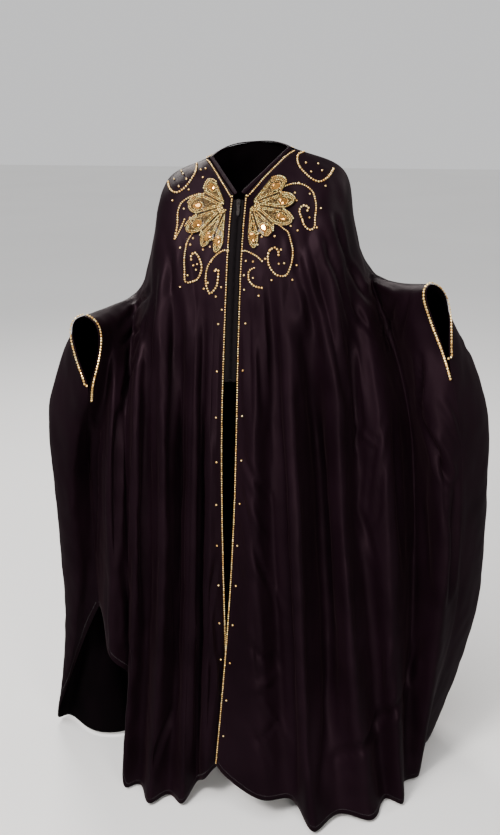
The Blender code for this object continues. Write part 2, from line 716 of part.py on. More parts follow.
def make_binding(tops, look):
    path = neck_path(tops)
    middle = np.array([0.0, 0.0, 0.03])
    fine = []
    for i in range(len(path) - 1):
        for step in range(2):
            fine.append(through(list(path), i + step / 2)[0])
    fine.append(path[-1])
    fine = np.array(fine)
    sections = []
    half_width = BINDING_WIDTH / 2
    half_wall = BINDING_THICKNESS / 2
    corners = 8
    for i, point in enumerate(fine):
        along = fine[min(i + 1, len(fine) - 1)] - fine[max(i - 1, 0)]
        along = along / np.linalg.norm(along)
        inward = middle - point
        inward = inward - along * inward.dot(along)
        inward = inward / np.linalg.norm(inward)
        up = np.cross(along, inward)
        centre = point + inward * (half_width + 0.0016)
        ring = []
        for corner in range(corners):
            angle = 2 * math.pi * (corner + 0.5) / corners
            ring.append(centre + inward * half_width * math.cos(angle) / math.cos(math.pi / corners)
                        + up * half_wall * math.sin(angle) / math.sin(math.pi * 3 / corners))
        sections.append(ring)
    add_object("neck_binding", loft(sections), look)


def zip_edges(section):
    """For each row of the zip: level height, left edge, right edge and the middle between them."""
    right = section.front_right[0]
    left = section.front_left[-1]
    top = NECK_FRONT_LEFT[2] - ZIP_BELOW_NECK
    rows = []
    for i in range(ZIP_ROWS + 1):
        z = top + (ZIP_END - top) * i / ZIP_ROWS
        r = right.curve.at(z)
        l = left.curve.at(z)
        rows.append((l, r, (l + r) / 2))
    return rows


def make_zip(section, tape_look, metal_look):
    rows = zip_edges(section)
    sink = np.array([0, 0.0004, 0])
    for name, side in (("zip_tape_left", 0), ("zip_tape_right", 1)):
        grid = []
        for row in rows:
            edge = row[side]
            middle = row[2]
            across = (middle - edge) / np.linalg.norm(middle - edge)
            grid.append([edge + across * TAPE_GAP + sink, (edge + middle) / 2 + sink,
                         middle - across * SEAM_GAP / 2 + sink])
        add_cloth(name, np.array(grid), lambda at: (0, -1, 0), tape_look, TAPE_WALL)
    top = rows[0][2] + sink
    tilt = rows[1][2] - rows[0][2]
    tilt = math.atan2(tilt[1], -tilt[2])
    make_slider(top, tilt, metal_look)
    bottom = rows[-1][2] + sink
    stop = box_mesh(STOP, (0, 0, 0), 0.0005)
    place = (bottom[0], bottom[1] - SEAM_GAP - STOP[1] / 2, bottom[2] + STOP[2])
    bmesh.ops.translate(stop, vec=place, verts=stop.verts)
    add_object("zip_stop", stop, metal_look, smooth=False)


def turned(bm, tilt, place):
    """Leans a piece with the zip, about X, and sets it in place."""
    lean = Matrix.Rotation(tilt, 3, "X")
    bmesh.ops.rotate(bm, cent=(0, 0, 0), matrix=lean, verts=bm.verts)
    bmesh.ops.translate(bm, vec=place, verts=bm.verts)
    return bm


def outline_mesh(outer, inner, thickness):
    """A flat piece in the XZ plane, centred on Y, with an outline and a hole of as many points."""
    bm = bmesh.new()
    rings = []
    for y in (-thickness / 2, thickness / 2):
        for outline in (outer, inner):
            rings.append([bm.verts.new((x, y, z)) for x, z in outline])
    front_outer, front_inner, back_outer, back_inner = rings
    count = len(outer)
    for a, b in ((front_outer, front_inner), (back_inner, back_outer),
                 (back_outer, front_outer), (front_inner, back_inner)):
        for i in range(count):
            j = (i + 1) % count
            bm.faces.new((a[i], a[j], b[j], b[i]))
    return bm


def rounded_rectangle(half_width, top, bottom, steps=4):
    """Points of a rectangle with round corners, from its upper right corner round."""
    radius = half_width * 0.6
    points = []
    for corner, (x, z) in enumerate(((1, top - radius), (-1, top - radius),
                                     (-1, bottom + radius), (1, bottom + radius))):
        for step in range(steps + 1):
            angle = math.pi / 2 * (corner + step / steps)
            points.append((x * (half_width - radius) + radius * math.cos(angle),
                           z + radius * math.sin(angle)))
    return points


def make_slider(top, tilt, look):
    """Slider, its bridge, and the pull tab that swings on the bridge."""
    width, depth, height = SLIDER
    hole_y, hole_z = BRIDGE_INSIDE
    body = box_mesh(SLIDER, (0, 0, 0), 0.0008)
    lean = Matrix.Rotation(tilt, 3, "X")
    centre = Vector(top) + lean @ Vector((0, -(SEAM_GAP + depth / 2), -height / 2))
    slider = add_object("zip_slider", turned(body, tilt, centre), look)
    arch_y = -(depth / 2 + hole_y / 2)
    outer = rounded_rectangle(hole_y / 2 + BRIDGE_WALL, hole_z / 2 + BRIDGE_WALL,
                              -hole_z / 2 - BRIDGE_WALL, 2)
    inner = rounded_rectangle(hole_y / 2, hole_z / 2, -hole_z / 2, 2)
    arch = outline_mesh(outer, inner, BRIDGE_WIDTH)
    bmesh.ops.rotate(arch, cent=(0, 0, 0), matrix=Matrix.Rotation(math.pi / 2, 3, "Z"),
                     verts=arch.verts)
    bmesh.ops.translate(arch, vec=(0, arch_y, 0), verts=arch.verts)
    arch = add_object("bridge", turned(arch, tilt, centre), look)
    helpers.objects.link(arch)
    garment.objects.unlink(arch)
    arch.hide_render = True
    arch.display_type = "WIRE"
    join = slider.modifiers.new("Bridge", "BOOLEAN")
    join.operation = "UNION"
    join.object = arch
    pin = Vector((0, -(depth / 2 + hole_y / 2), -hole_z / 2 + PULL_THICKNESS))
    hinge = centre + lean @ pin
    half = PULL_WIDTH / 2
    tab = outline_mesh(rounded_rectangle(half, PIN_RADIUS, PIN_RADIUS - PULL_LENGTH),
                       rounded_rectangle(PULL_EYE / 2, -PIN_RADIUS, -PIN_RADIUS - PULL_EYE_LENGTH),
                       PULL_THICKNESS * 0.75)
    pull = add_object("zip_pull", turned(tab, tilt, (0, 0, 0)), look)
    pull.location = hinge


def lobes(rows):
    """Columns of the applique: angle, reach of its edge, and share of the way out to a tip."""
    lobe = []
    for row in table(rows, MOTIF_COLUMNS):
        angle = math.atan2(row["tip_z"], row["tip_x"])
        if lobe:
            angle = lobe[-1][0] + math.remainder(angle - lobe[-1][0], 2 * math.pi)
        lobe.append((angle, math.hypot(row["tip_x"], row["tip_z"]), math.radians(row["half_angle"])))
    sign = 1 if lobe[-1][0] > lobe[0][0] else -1
    found = []
    for i, (angle, reach, half) in enumerate(lobe):
        ends = []
        for other, turn in ((i - 1, -sign), (i + 1, sign)):
            if 0 <= other < len(lobe):
                ends.append(((angle + lobe[other][0]) / 2, (reach + lobe[other][1]) / 2))
            else:
                ends.append((angle + turn * half, reach))
        for step in range(STEPS_PER_LOBE + (i == len(lobe) - 1)):
            share = step / STEPS_PER_LOBE
            end_angle, end_reach = ends[0] if share < 0.5 else ends[1]
            out = 1 - abs(share - 0.5) * 2
            notch = end_reach * MOTIF_NOTCH
            found.append((angle + (end_angle - angle) * (1 - out),
                          notch + (reach - notch) * (1 - (1 - out) ** 1.9), out))
    return found


def make_motif(name, facets, base, rows, look):
    outer, inner = [], []
    for ring in MOTIF_RINGS:
        outer.append([])
        inner.append([])
        for angle, reach, out in lobes(rows):
            x = base[0] + ring * reach * math.cos(angle)
            z = base[1] + ring * reach * math.sin(angle)
            point, normal = facets.frame(x, z)
            raised = MOTIF_WALL
            if ring > 0.8:
                raised += RIM_HEIGHT
            away = ((ring - CRYSTAL_PLACE) / 0.10) ** 2 + ((1 - out) / 0.45) ** 2
            raised += CRYSTAL_HEIGHT * math.exp(-away)
            outer[-1].append(point + normal * (MOTIF_LIFT + raised))
            inner[-1].append(point + normal * MOTIF_LIFT)
    add_object(name, wall_mesh(outer, inner), look)


def main():
    cloth = material("Black satin crepe", (0.018, 0.013, 0.015), 0.38)
    tape = material("Black zip tape", (0.012, 0.011, 0.012), 0.75)
    metal = material("Dark zip metal", (0.10, 0.09, 0.09), 0.30, 1.0)
    gold = material("Gold beadwork", (0.62, 0.43, 0.20), 0.30, 0.85)
    section = Section()
    grids, tops = make_panels(section, cloth)
    make_binding(tops, cloth)
    make_zip(section, tape, metal)
    make_motif("motif_right", Facets(grids["front_right"]), MOTIF_RIGHT_BASE, MOTIF_RIGHT, gold)
    make_motif("motif_left", Facets(grids["front_left"]), MOTIF_LEFT_BASE, MOTIF_LEFT, gold)


for old in list(bpy.data.objects):
    bpy.data.objects.remove(old, do_unlink=True)
garment = bpy.data.collections.new("Abaya")
helpers = bpy.data.collections.new("Helpers")
bpy.context.scene.collection.children.link(garment)
bpy.context.scene.collection.children.link(helpers)
main()
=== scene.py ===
"""A farasha abaya as worn, with both arms bent: satin crepe panels, a closed front zip, and gold
beadwork round the V neck, down both front edges and round the wrist openings."""

import math

import bmesh
import bpy
import numpy as np
from bpy.props import FloatProperty, FloatVectorProperty, PointerProperty
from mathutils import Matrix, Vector, noise
from mathutils.bvhtree import BVHTree


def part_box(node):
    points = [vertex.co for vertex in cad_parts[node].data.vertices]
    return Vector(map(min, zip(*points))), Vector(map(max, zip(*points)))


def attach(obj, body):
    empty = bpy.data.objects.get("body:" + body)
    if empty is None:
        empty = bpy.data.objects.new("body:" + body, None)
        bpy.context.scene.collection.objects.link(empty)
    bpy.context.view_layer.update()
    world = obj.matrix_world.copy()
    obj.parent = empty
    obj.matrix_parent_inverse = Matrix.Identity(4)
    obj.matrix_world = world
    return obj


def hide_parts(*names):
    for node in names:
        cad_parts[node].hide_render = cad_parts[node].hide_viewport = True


bl_info = {
    "name": "Beaded farasha abaya",
    "version": (1, 0, 0),
    "blender": (4, 5, 0),
    "location": "3D View > Sidebar > Abaya",
    "description": "Builds the panels, zip and gold beadwork of a worn farasha abaya",
    "category": "Add Mesh",
}

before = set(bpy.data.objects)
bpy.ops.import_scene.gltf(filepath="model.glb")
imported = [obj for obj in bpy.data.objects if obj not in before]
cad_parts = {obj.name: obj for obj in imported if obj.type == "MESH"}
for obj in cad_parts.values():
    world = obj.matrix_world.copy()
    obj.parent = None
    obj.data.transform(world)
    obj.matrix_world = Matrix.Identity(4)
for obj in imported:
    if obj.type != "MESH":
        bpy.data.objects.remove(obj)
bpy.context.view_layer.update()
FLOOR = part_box("back")[0][2] - 0.006  # just under the lowest hem

MM_PER_M = 1000
FAR = 1.2  # a distance that is beyond the garment, in front or behind
WALL = 0.002  # between the two faces of each panel's solid
NECK_RIGHT = (0.0065, -0.113, -0.072)  # tops of the two front edges
NECK_LEFT = (-0.0165, -0.114, -0.074)
SHOULDER_RIGHT = (0.088, 0.008, 0.010)  # where the shoulder seams meet the neck
SHOULDER_LEFT = (-0.085, -0.004, -0.010)
FRONT_HEM_RIGHT = (-0.052, -0.192, -1.335)  # bottoms of the two front edges
FRONT_HEM_LEFT = (-0.026, -0.150, -1.350)
WRIST_RIGHT = (0.376, -0.067, -0.247)  # top and bottom of the wrist openings
WRIST_LEFT = (-0.315, -0.164, -0.312)
OPENING_END_RIGHT = (0.416, -0.071, -0.395)
OPENING_END_LEFT = (-0.303, -0.192, -0.450)
HEM_START_RIGHT = (0.405, 0.062, -1.440)
HEM_START_LEFT = (-0.345, -0.070, -1.020)

LONGEST_EDGE = 0.018  # down a panel, before its faces are halved for the creases
LONGEST_LEAP = 0.06  # between two points of a crease, unless a fold hides the cloth between them
EDGE_FADE = 0.016  # beside a panel's edge, where its creases die out
EDGE_STEP = 0.001  # between the points of a path beside an edge
LINE_INSET = 0.0018  # from the front edges to their bead lines
NECK_INSET = 0.0055  # from the neck edge to the beads on the binding
SINGLES_INSET = 0.0145  # from the front edges to the single beads beside them
CHAIN_INSET = 0.0042
HEM_INSET = 0.011
SEAM_INSET = 0.004
BEAD_LIFT = 0.42  # share of a bead's height that its middle stands off the cloth
PAD_LIFT = 0.30  # the same on a motif's ground
SOFT_EDGE = 0.0003  # bevel of the tapes and motif grounds
SCROLL_GAP = 1.26  # from bead to bead, in bead widths
CHAIN_GAP = 1.10  # from stone to stone, in stone widths
FIRST_SINGLE = 250  # steps down the edge to the first single bead beside it
NEXT_SINGLE = 94  # steps from there to each next one
STITCH = (0.0028, 0.0028, 0.0024)
NEXT_STITCH = 4  # steps from stitch to stitch
TOOTH = (0.0040, 0.0022, 0.0024)
TOOTH_STEP = 0.0013
COIL_TOP = -0.0945  # just under the slider

IMAGE_WIDTH = 500  # pixels
IMAGE_HEIGHT = 835
FOCAL_LENGTH = 1000  # pixels
SENSOR = 36  # mm
LAMPS = (  # place, width and power
    ("key", (-1.1, -2.5, 1.6), 0.8, 150),
    ("fill", (1.3, -2.6, -0.5), 0.9, 56),
    ("back", (-1.4, 2.4, 1.8), 1.6, 110),
    ("side", (2.4, 1.6, 1.2), 1.4, 20),
)

# Soft troughs (depth above 0) and ridges in each panel, in millimetres, by the places of their two
# ends. bow: how far the middle stands off the straight line.
CREASE_COLUMNS = ("x", "z", "end_x", "end_z", "bow", "width", "depth")
FRONT_RIGHT_CREASES = (
    (55, -195, 135, -1380, -4, 10, 6.5),
    (105, -385, 160, -1370, -2, 9, -4),
    (120, -305, 200, -1320, -20, 15, 8),
    (45, -215, 65, -520, 0, 9, -3.5),
    (20, -270, 30, -530, 0, 7, 3),
    (10, -580, 70, -695, 0, 6, 3),
    (15, -645, 65, -780, 2, 6, -2.5),
    (25, -720, 80, -925, 2, 7, 3),
    (30, -820, 105, -955, -4, 6, -2.5),
    (20, -995, 95, -1065, 4, 7, 3),
    (25, -1120, 100, -1090, -4, 7, -3),
    (30, -1195, 80, -1305, 2, 7, 3),
    (25, -1250, 100, -1195, 4, 6, 2.5),
    (55, -1140, 115, -1260, 0, 7, -3),
    (35, -900, 55, -1115, 2, 7, 2.5),
    (95, -125, 155, -355, -4, 9, 4),
    (125, -140, 215, -490, -8, 10, 5),
    (155, -130, 220, -355, -8, 8, 4),
    (115, -170, 185, -415, -6, 9, -3.5),
    (180, -110, 210, -220, 0, 8, 4),
    (205, -205, 260, -300, 4, 8, 4),
    (215, -285, 265, -355, 4, 6, 3),
    (255, -280, 305, -410, -4, 7, 4),
    (310, -275, 290, -400, 2, 6, 3),
    (335, -265, 320, -375, 2, 6, 3),
    (285, -305, 275, -390, 0, 5, -2.5),
    (230, -255, 315, -280, 6, 6, -2.5),
    (210, -340, 245, -650, -4, 9, 4.5),
    (225, -360, 265, -565, -4, 7, -3),
    (255, -525, 230, -615, 2, 5, 3),
    (295, -525, 265, -655, 2, 6, 3),
    (270, -595, 255, -770, 2, 5, -2.5),
    (300, -595, 285, -760, 2, 6, 3),
    (240, -710, 285, -855, -2, 6, 3),
    (270, -790, 300, -700, 2, 5, 2.5),
    (245, -560, 285, -590, 0, 5, -2),
    (310, -495, 350, -900, -2, 11, 4.5),
    (225, -825, 260, -1310, -2, 12, -4),
    (280, -850, 320, -1245, 2, 12, 4),
    (375, -1180, 280, -1285, 8, 10, 5),
    (400, -1065, 360, -1250, 4, 9, 4.5),
    (310, -1255, 205, -1320, 6, 9, 4),
    (330, -1030, 320, -1160, 0, 8, -3),
    (360, -385, 370, -550, 2, 8, 7),
    (370, -535, 450, -690, 0, 9, 8),
    (450, -655, 455, -975, -6, 10, 7.5),
    (405, -475, 480, -640, -4, 7, -3.5),
    (155, -100, 85, -330, 10, 14, 3),
    (190, -130, 150, -420, 12, 16, 3.5),
    (210, -1050, 195, -1400, 10, 14, 3),
    (390, -620, 420, -980, 12, 13, 3.5),
    (420, -560, 455, -800, 10, 11, 3),
)
FRONT_LEFT_CREASES = (
    (-70, -275, -105, -1385, -6, 9, 6),
    (-85, -260, -120, -1360, 0, 8, 5),
    (-125, -250, -145, -735, 0, 8, 4),
    (-100, -260, -135, -1185, 0, 7, -3),
    (-170, -165, -215, -1070, 4, 10, 6),
    (-140, -335, -170, -1065, 2, 10, -3.5),
    (-185, -265, -265, -355, 6, 7, 4),
    (-195, -340, -260, -390, 6, 6, 3.5),
    (-205, -385, -250, -485, 2, 6, 3),
    (-190, -300, -245, -440, 4, 6, -3),
    (-240, -400, -245, -520, 0, 8, 6),
    (-250, -500, -270, -860, 0, 8, 7),
    (-305, -515, -350, -930, 0, 8, 7),
    (-285, -535, -295, -810, 0, 7, -3),
    (-50, -275, -50, -575, 0, 6, 3),
    (-45, -820, -75, -1025, 0, 6, 3),
    (-60, -925, -45, -1185, 0, 6, -3),
    (-50, -1015, -75, -1305, 0, 6, 3),
    (-140, -1190, -195, -1360, 6, 8, 4.5),
    (-145, -835, -140, -1165, 0, 8, 3),
    (-95, -915, -95, -1160, 0, 5, -2.5),
    (-210, -520, -250, -955, -2, 9, -3.5),
    (-255, -850, -245, -1170, 0, 8, 4),
    (-140, -175, -145, -275, 0, 7, 3),
    (-130, -110, -85, -340, -10, 13, 3),
    (-165, -130, -130, -430, -12, 14, 3.5),
    (-290, -880, -300, -1060, 8, 10, 3),
)
BACK_CREASES = (
    (30, -80, 60, -440, 12, 16, 4.5),
    (-40, -80, -70, -420, -12, 16, 4.5),
    (90, -60, 140, -380, 14, 15, 4.5),
    (-100, -80, -140, -400, -14, 15, 4.5),
    (0, -200, 10, -640, 10, 18, -4),
    (200, -210, 120, -480, 20, 14, 4.5),
    (-205, -230, -120, -500, -20, 14, 4.5),
    (235, -270, 180, -620, 18, 14, 4),
    (-240, -320, -180, -660, -18, 14, 4),
    (255, -290, 250, -620, 12, 13, 3.5),
    (-265, -330, -250, -640, -12, 13, 3.5),
    (290, -300, 330, -600, -14, 12, 3.5),
    (330, -290, 390, -560, -12, 12, 3.5),
    (-290, -350, -320, -620, 12, 12, 3.5),
    (80, -600, 90, -1020, 10, 16, 4.5),
    (-80, -560, -100, -1000, -10, 16, 4.5),
    (190, -660, 200, -1060, 12, 15, 4),
    (-200, -700, -230, -1080, -12, 15, 4),
    (300, -700, 310, -1100, 10, 14, 4),
    (-300, -740, -330, -1100, 12, 14, 4),
    (400, -620, 430, -980, -12, 13, 3.5),
    (460, -620, 490, -940, -10, 12, 3.5),
    (40, -1020, 20, -1380, 10, 15, 4),
    (140, -1060, 150, -1400, 10, 14, 4),
    (250, -1100, 240, -1400, 10, 14, 4),
    (-50, -1040, -70, -1400, 10, 15, 4),
    (-150, -1080, -180, -1400, 10, 14, 4),
    (-260, -1080, -300, -1400, 10, 14, 4),
    (360, -1120, 400, -1400, -10, 13, 3.5),
    (-380, -1020, -440, -1360, -10, 13, 3.5),
    (130, -240, 60, -420, 10, 8, 3),
    (-60, -300, -120, -520, 8, 8, -3),
    (215, -330, 150, -540, 10, 8, 3.5),
    (-170, -420, -215, -700, -8, 9, 3.5),
    (50, -700, 110, -860, 8, 7, 3),
    (-30, -820, 20, -1040, -6, 8, 3),
    (-140, -900, -90, -1060, 6, 7, -2.5),
    (230, -900, 290, -1080, 8, 8, 3),
    (-250, -960, -205, -1160, -8, 8, 3),
    (350, -420, 405, -700, -10, 9, 4),
    (440, -330, 490, -620, -8, 9, 3.5),
    (500, -560, 515, -900, -6, 9, 3.5),
    (-340, -420, -385, -720, 8, 9, 4),
    (-395, -520, -430, -900, 8, 9, -3.5),
    (-430, -700, -470, -1100, 8, 9, 3.5),
    (80, -1240, 140, -1390, 8, 8, 3.5),
    (-110, -1230, -160, -1390, -8, 8, 3.5),
    (310, -1260, 250, -1400, 8, 8, 3),
)

# Leaf motifs, as seen from the front: how far each lobe's tip lies from the base, in metres, and
# half of the lobe's angle, in degrees.
MOTIF_COLUMNS = ("lobe", "tip_x", "tip_z", "half_angle")
MOTIF_RIGHT_BASE = (0.0160, -0.090)
MOTIF_RIGHT = (
    ("upper", 0.064, 0.044, 18),
    ("side", 0.086, 0.006, 14),
    ("middle", 0.084, -0.034, 14),
    ("lower", 0.040, -0.060, 15),
    ("last", 0.011, -0.084, 10),
)
MOTIF_LEFT_BASE = (-0.0300, -0.094)
MOTIF_LEFT = (
    ("upper", -0.046, 0.044, 16),
    ("side", -0.082, -0.004, 14),
    ("middle", -0.082, -0.050, 14),
    ("lower", -0.047, -0.080, 13),
    ("last", -0.020, -0.090, 11),
)
MOTIF_NOTCH = 0.74  # share of the way to the tip at which two lobes part
HEART_REACH = 0.0105  # from the base to the middle of the motif's heart
HEART_BEAD = 0.0050
CRYSTAL_PLACE = 0.70  # share of the way to the tip
CRYSTAL = (0.0130, 0.0130, 0.0110)
CRYSTAL_SHIFT = 0.0022  # from the crystal's place on to the middle of its ring of beads
RING = (0.0074, 0.0098)  # half the ring's width and length
CLEARING = (0.0084, 0.0108)  # the same of the space that other beads leave free

# Beaded scrolls below and beside the motifs, as seen from the front, in millimetres: the sizes of
# the first and last bead, and the places that the line runs through.
SCROLLS = (
    ("shoulder left", 3.8, 4.9,
     ((-107, -22), (-104, -36), (-113, -54), (-126, -69), (-140, -75), (-155, -69),
      (-164, -57))),
    ("shoulder right", 3.8, 4.9,
     ((109, 2), (99, -3), (99, -14), (106, -26), (119, -38), (133, -48),
      (148, -52), (162, -43), (170, -30))),
    ("outer left", 3.4, 4.7,
     ((-92, -76), (-109, -82), (-125, -93), (-130, -104), (-131, -115), (-130, -137),
      (-133, -160))),
    ("outer left branch", 3.1, 3.8, ((-133, -160), (-124, -143), (-115, -122))),
    ("middle left", 3.1, 4.9,
     ((-97, -147), (-107, -164), (-112, -188), (-111, -217), (-108, -240), (-92, -239),
      (-81, -231), (-75, -212), (-80, -196), (-90, -185), (-98, -190),
      (-98, -201))),
    ("inner left", 3.1, 4.9,
     ((-22, -178), (-36, -179), (-53, -193), (-64, -212), (-66, -240), (-58, -260),
      (-50, -254), (-44, -242), (-42, -217), (-47, -215))),
    ("outer right", 3.4, 4.7,
     ((80, -59), (97, -55), (115, -57), (129, -65), (138, -77), (143, -97),
      (142, -117), (142, -135), (132, -139), (122, -131), (117, -120), (111, -104),
      (118, -95), (128, -99), (124, -108))),
    ("middle right", 3.1, 4.9,
     ((74, -130), (83, -137), (92, -144), (98, -161), (102, -179), (100, -203),
      (93, -221), (84, -224), (72, -221), (62, -211), (56, -197), (57, -178),
      (67, -171), (74, -177), (76, -185))),
    ("inner right", 3.1, 4, ((6, -178), (12, -178), (32, -187), (46, -198))),
    ("inner right curl", 3.6, 4.7,
     ((29, -210), (19, -216), (19, -233), (30, -244), (46, -247))),
)
# Single beads sewn between the scrolls, in millimetres.
SINGLES = (
    (-155, -39), (-132, -41), (-87, -46), (-113, -69), (-105, -82), (-135, -64),
    (-94, -32), (-84, -30), (-105, -120), (-109, -170), (-101, -170),
    (-93, -209), (-105, -228), (-87, -217), (-60, -172), (-40, -172), (-57, -200),
    (-36, -248), (-62, -240), (-49, -217), (-34, -292), (-138, -37), (74, -8),
    (128, -34), (149, -32), (106, -54), (129, -74), (91, -81), (81, -124),
    (61, -136), (42, -151), (23, -163), (12, -197), (26, -198), (9, -224),
    (80, -175), (59, -175), (87, -200), (77, -201), (118, -122), (131, -117),
    (147, -135), (50, -192), (27, -229), (-150, -52), (-121, -50), (-145, -90),
    (-119, -104), (-121, -176), (-96, -158), (-74, -178), (-70, -252), (-46, -266),
    (-118, -250), (-85, -206), (116, -18), (140, -20), (158, -60), (100, -72),
    (104, -86), (152, -100), (110, -140), (96, -132), (66, -150), (110, -205),
    (104, -232), (64, -232), (40, -262), (10, -252), (34, -166),
)


def table(rows, columns):
    """Rows as dictionaries, by the names of the table's columns."""
    return [dict(zip(columns, row)) for row in rows]


class Look:
    """One material and the nodes that make its surface."""

    def __init__(self, name, **settings):
        self.material = bpy.data.materials.new(name)
        self.material.use_nodes = True
        self.tree = self.material.node_tree
        self.tree.nodes.clear()
        self.shader = self.tree.nodes.new("ShaderNodeBsdfPrincipled")
        output = self.tree.nodes.new("ShaderNodeOutputMaterial")
        self.tree.links.new(self.shader.outputs[0], output.inputs["Surface"])
        self.place = self.node("TexCoord", output=3)
        self.shade(**settings)

    def put(self, socket, value):
        """Links a value to a socket, or sets a plain number, vector or colour on it."""
        if isinstance(value, Value):
            self.tree.links.new(value.socket, socket)
        elif socket.type == "RGBA":
            socket.default_value = (*value, 1)
        else:
            socket.default_value = value

    def node(self, kind, settings=(), output=0, inputs=(), **values):
        """A node: its settings, then its sockets in order and by name; gives one of its outputs."""
        made = self.tree.nodes.new("ShaderNode" + kind)
        for name, value in dict(settings).items():
            if name == "stops":
                steps = made.color_ramp.elements
                steps.remove(steps[1])
                steps[0].position = value[0][0]
                steps[0].color = (*value[0][1], 1)
                for at, tint in value[1:]:
                    steps.new(at).color = (*tint, 1)
            else:
                setattr(made, name, value)
        for socket, value in zip(made.inputs, inputs):
            self.put(socket, value)
        for name, value in values.items():
            self.put(made.inputs[name.replace("_", " ")], value)
        return Value(self, made.outputs[output])

    def noise(self, scale, detail=2, squeeze=1, **values):
        """Noise over the object; squeezed, its spots are drawn out up and down."""
        where = self.place
        if squeeze != 1:
            where = self.node("Mapping", Vector=where, Scale=(1, 1, squeeze))
        return self.node("TexNoise", Vector=where, Scale=scale, Detail=detail, **values)

    def bands(self, direction, scale, **values):
        return self.node("TexWave", {"bands_direction": direction}, Vector=self.place,
                         Scale=scale, **values)

    def cells(self, scale):
        """A number from 0 to 1 for each cell of about a bead's size."""
        cell = self.node("TexVoronoi", output=1, Vector=self.place, Scale=scale)
        return self.node("SeparateColor", Color=cell)

    def ramp(self, value, *stops):
        """A colour that runs through the stops, each a value and its colour."""
        return self.node("ValToRGB", {"stops": stops}, Fac=value)

    def bump(self, height, strength, distance):
        return self.node("Bump", Height=height, Strength=strength, Distance=distance)

    def shade(self, **values):
        for name, value in values.items():
            self.put(self.shader.inputs[name.replace("_", " ")], value)


class Value:
    """A number that varies over a surface; arithmetic on it adds the Math nodes."""

    def __init__(self, look, socket):
        self.look = look
        self.socket = socket

    def math(self, operation, *values):
        return self.look.node("Math", {"operation": operation}, inputs=values)

    def __add__(self, other):
        return self.math("ADD", self, other)

    def __radd__(self, other):
        return self.math("ADD", other, self)

    def __sub__(self, other):
        return self.math("SUBTRACT", self, other)

    def __rsub__(self, other):
        return self.math("SUBTRACT", other, self)

    def __mul__(self, other):
        return self.math("MULTIPLY", self, other)

    def __rmul__(self, other):
        return self.math("MULTIPLY", other, self)


def length(name, description, default):
    return FloatProperty(name=name, description=description, default=default,
                         subtype="DISTANCE", unit="LENGTH")


def colour(name, description, default):
    return FloatVectorProperty(name=name, description=description, default=default,
                               subtype="COLOR", min=0, max=1)


class AbayaSizes(bpy.types.PropertyGroup):
    """Sizes of the cloth and of the beads sewn on it."""

    cloth: length("Cloth", "Thickness of the cloth", 0.0012)
    crease: FloatProperty(name="Creases", description="Share of each crease's full depth",
                          default=1.9, subtype="FACTOR")
    line_bead: length("Line bead", "Width of the beads along the edges", 0.0032)
    line_pitch: length("Line pitch", "From bead to bead along the edges", 0.0049)
    rim_bead: length("Rim bead", "Width of the beads round each lobe", 0.0034)
    fill_bead: length("Fill bead", "Width of the beads that fill a lobe", 0.0025)
    chain_bead: length("Chain stone", "Width of the wrist chains' stones", 0.0052)
    chain_tail: length("Chain tail", "Length of each wrist chain's tail", 0.045)
    single_bead: length("Single bead", "Width of the scattered beads", 0.0042)


class AbayaColours(bpy.types.PropertyGroup):
    """Colours of the cloth, the zip and the beads."""

    satin: colour("Satin", "Colour of the cloth", (0.0042, 0.0016, 0.0030))
    sheen: colour("Sheen", "Colour of the cloth's soft sheen", (0.48, 0.27, 0.30))
    gold: colour("Gold", "Colour of the beads", (1.00, 0.62, 0.21))
    crystal: colour("Crystal", "Colour of the teardrop crystals", (0.84, 0.42, 0.11))
    metal: colour("Zip metal", "Colour of the slider and stop", (0.009, 0.008, 0.008))
    tape: colour("Zip tape", "Colour of the tapes and teeth", (0.004, 0.003, 0.0035))


def chosen(name):
    """One of the panel's colours, to be made lighter or darker."""
    return np.array(getattr(bpy.context.scene.abaya_colours, name))


def satin_look(name="Satin crepe", grain=1.0):
    """Black satin crepe: a warm sheen on the crests, a crepe grain and fine lengthwise crinkles."""
    look = Look(name, Sheen_Weight=0.03, Sheen_Roughness=0.4, Sheen_Tint=chosen("sheen"),
                Specular_IOR_Level=0.24, Specular_Tint=(0.93, 0.57, 0.72), IOR=1.28)
    crinkle = look.noise(95, 3, 0.16, Roughness=0.55)
    patch = look.noise(7)
    crepe = look.noise(900, squeeze=0.5)
    height = crinkle * (patch * 1.6) + crepe * (0.10 * grain)
    worn = look.node("MapRange", Value=patch, From_Min=0.3, From_Max=0.7, To_Min=0.44, To_Max=0.54)
    satin = chosen("satin")
    look.shade(Base_Color=look.ramp(patch, (0.34, satin * 0.82), (0.68, satin * 1.25)),
               Roughness=worn + crepe * 0.05, Normal=look.bump(height, 0.20, 0.0012))
    return look.material


def crepe_painted_shade_look():
    """The cloth's matt inner side: crepe, its colour darkened below the satin side's as painted
    shade for the shadow inside the garment.
    """
    look = Look("Crepe inside painted shade", Specular_IOR_Level=0.10, IOR=1.28)
    crepe = look.noise(900)
    satin = chosen("satin")
    # painted shade: the inner side's colour is a third to a half of the satin's, standing in for
    # the shadow inside the garment
    look.shade(Base_Color=look.ramp(look.noise(9), (0.34, satin * 0.35), (0.68, satin * 0.55)),
               Roughness=0.76 + crepe * 0.10, Normal=look.bump(crepe, 0.25, 0.0004))
    return look.material


def tape_look():
    """Matte woven zip tape: a herringbone of fine ribs."""
    look = Look("Woven zip tape", Specular_IOR_Level=0.04)
    rib = look.bands("Z", 260, Distortion=1.2, Detail=1)
    twill = look.bands("DIAGONAL", 420, Distortion=0.6)
    tape = chosen("tape")
    look.shade(Base_Color=look.ramp(rib, (0, tape * 0.7), (1, tape * 1.5)),
               Roughness=0.68 + rib * 0.12,
               Normal=look.bump(rib * 0.5 + twill * 0.5, 0.5, 0.0004))
    return look.material


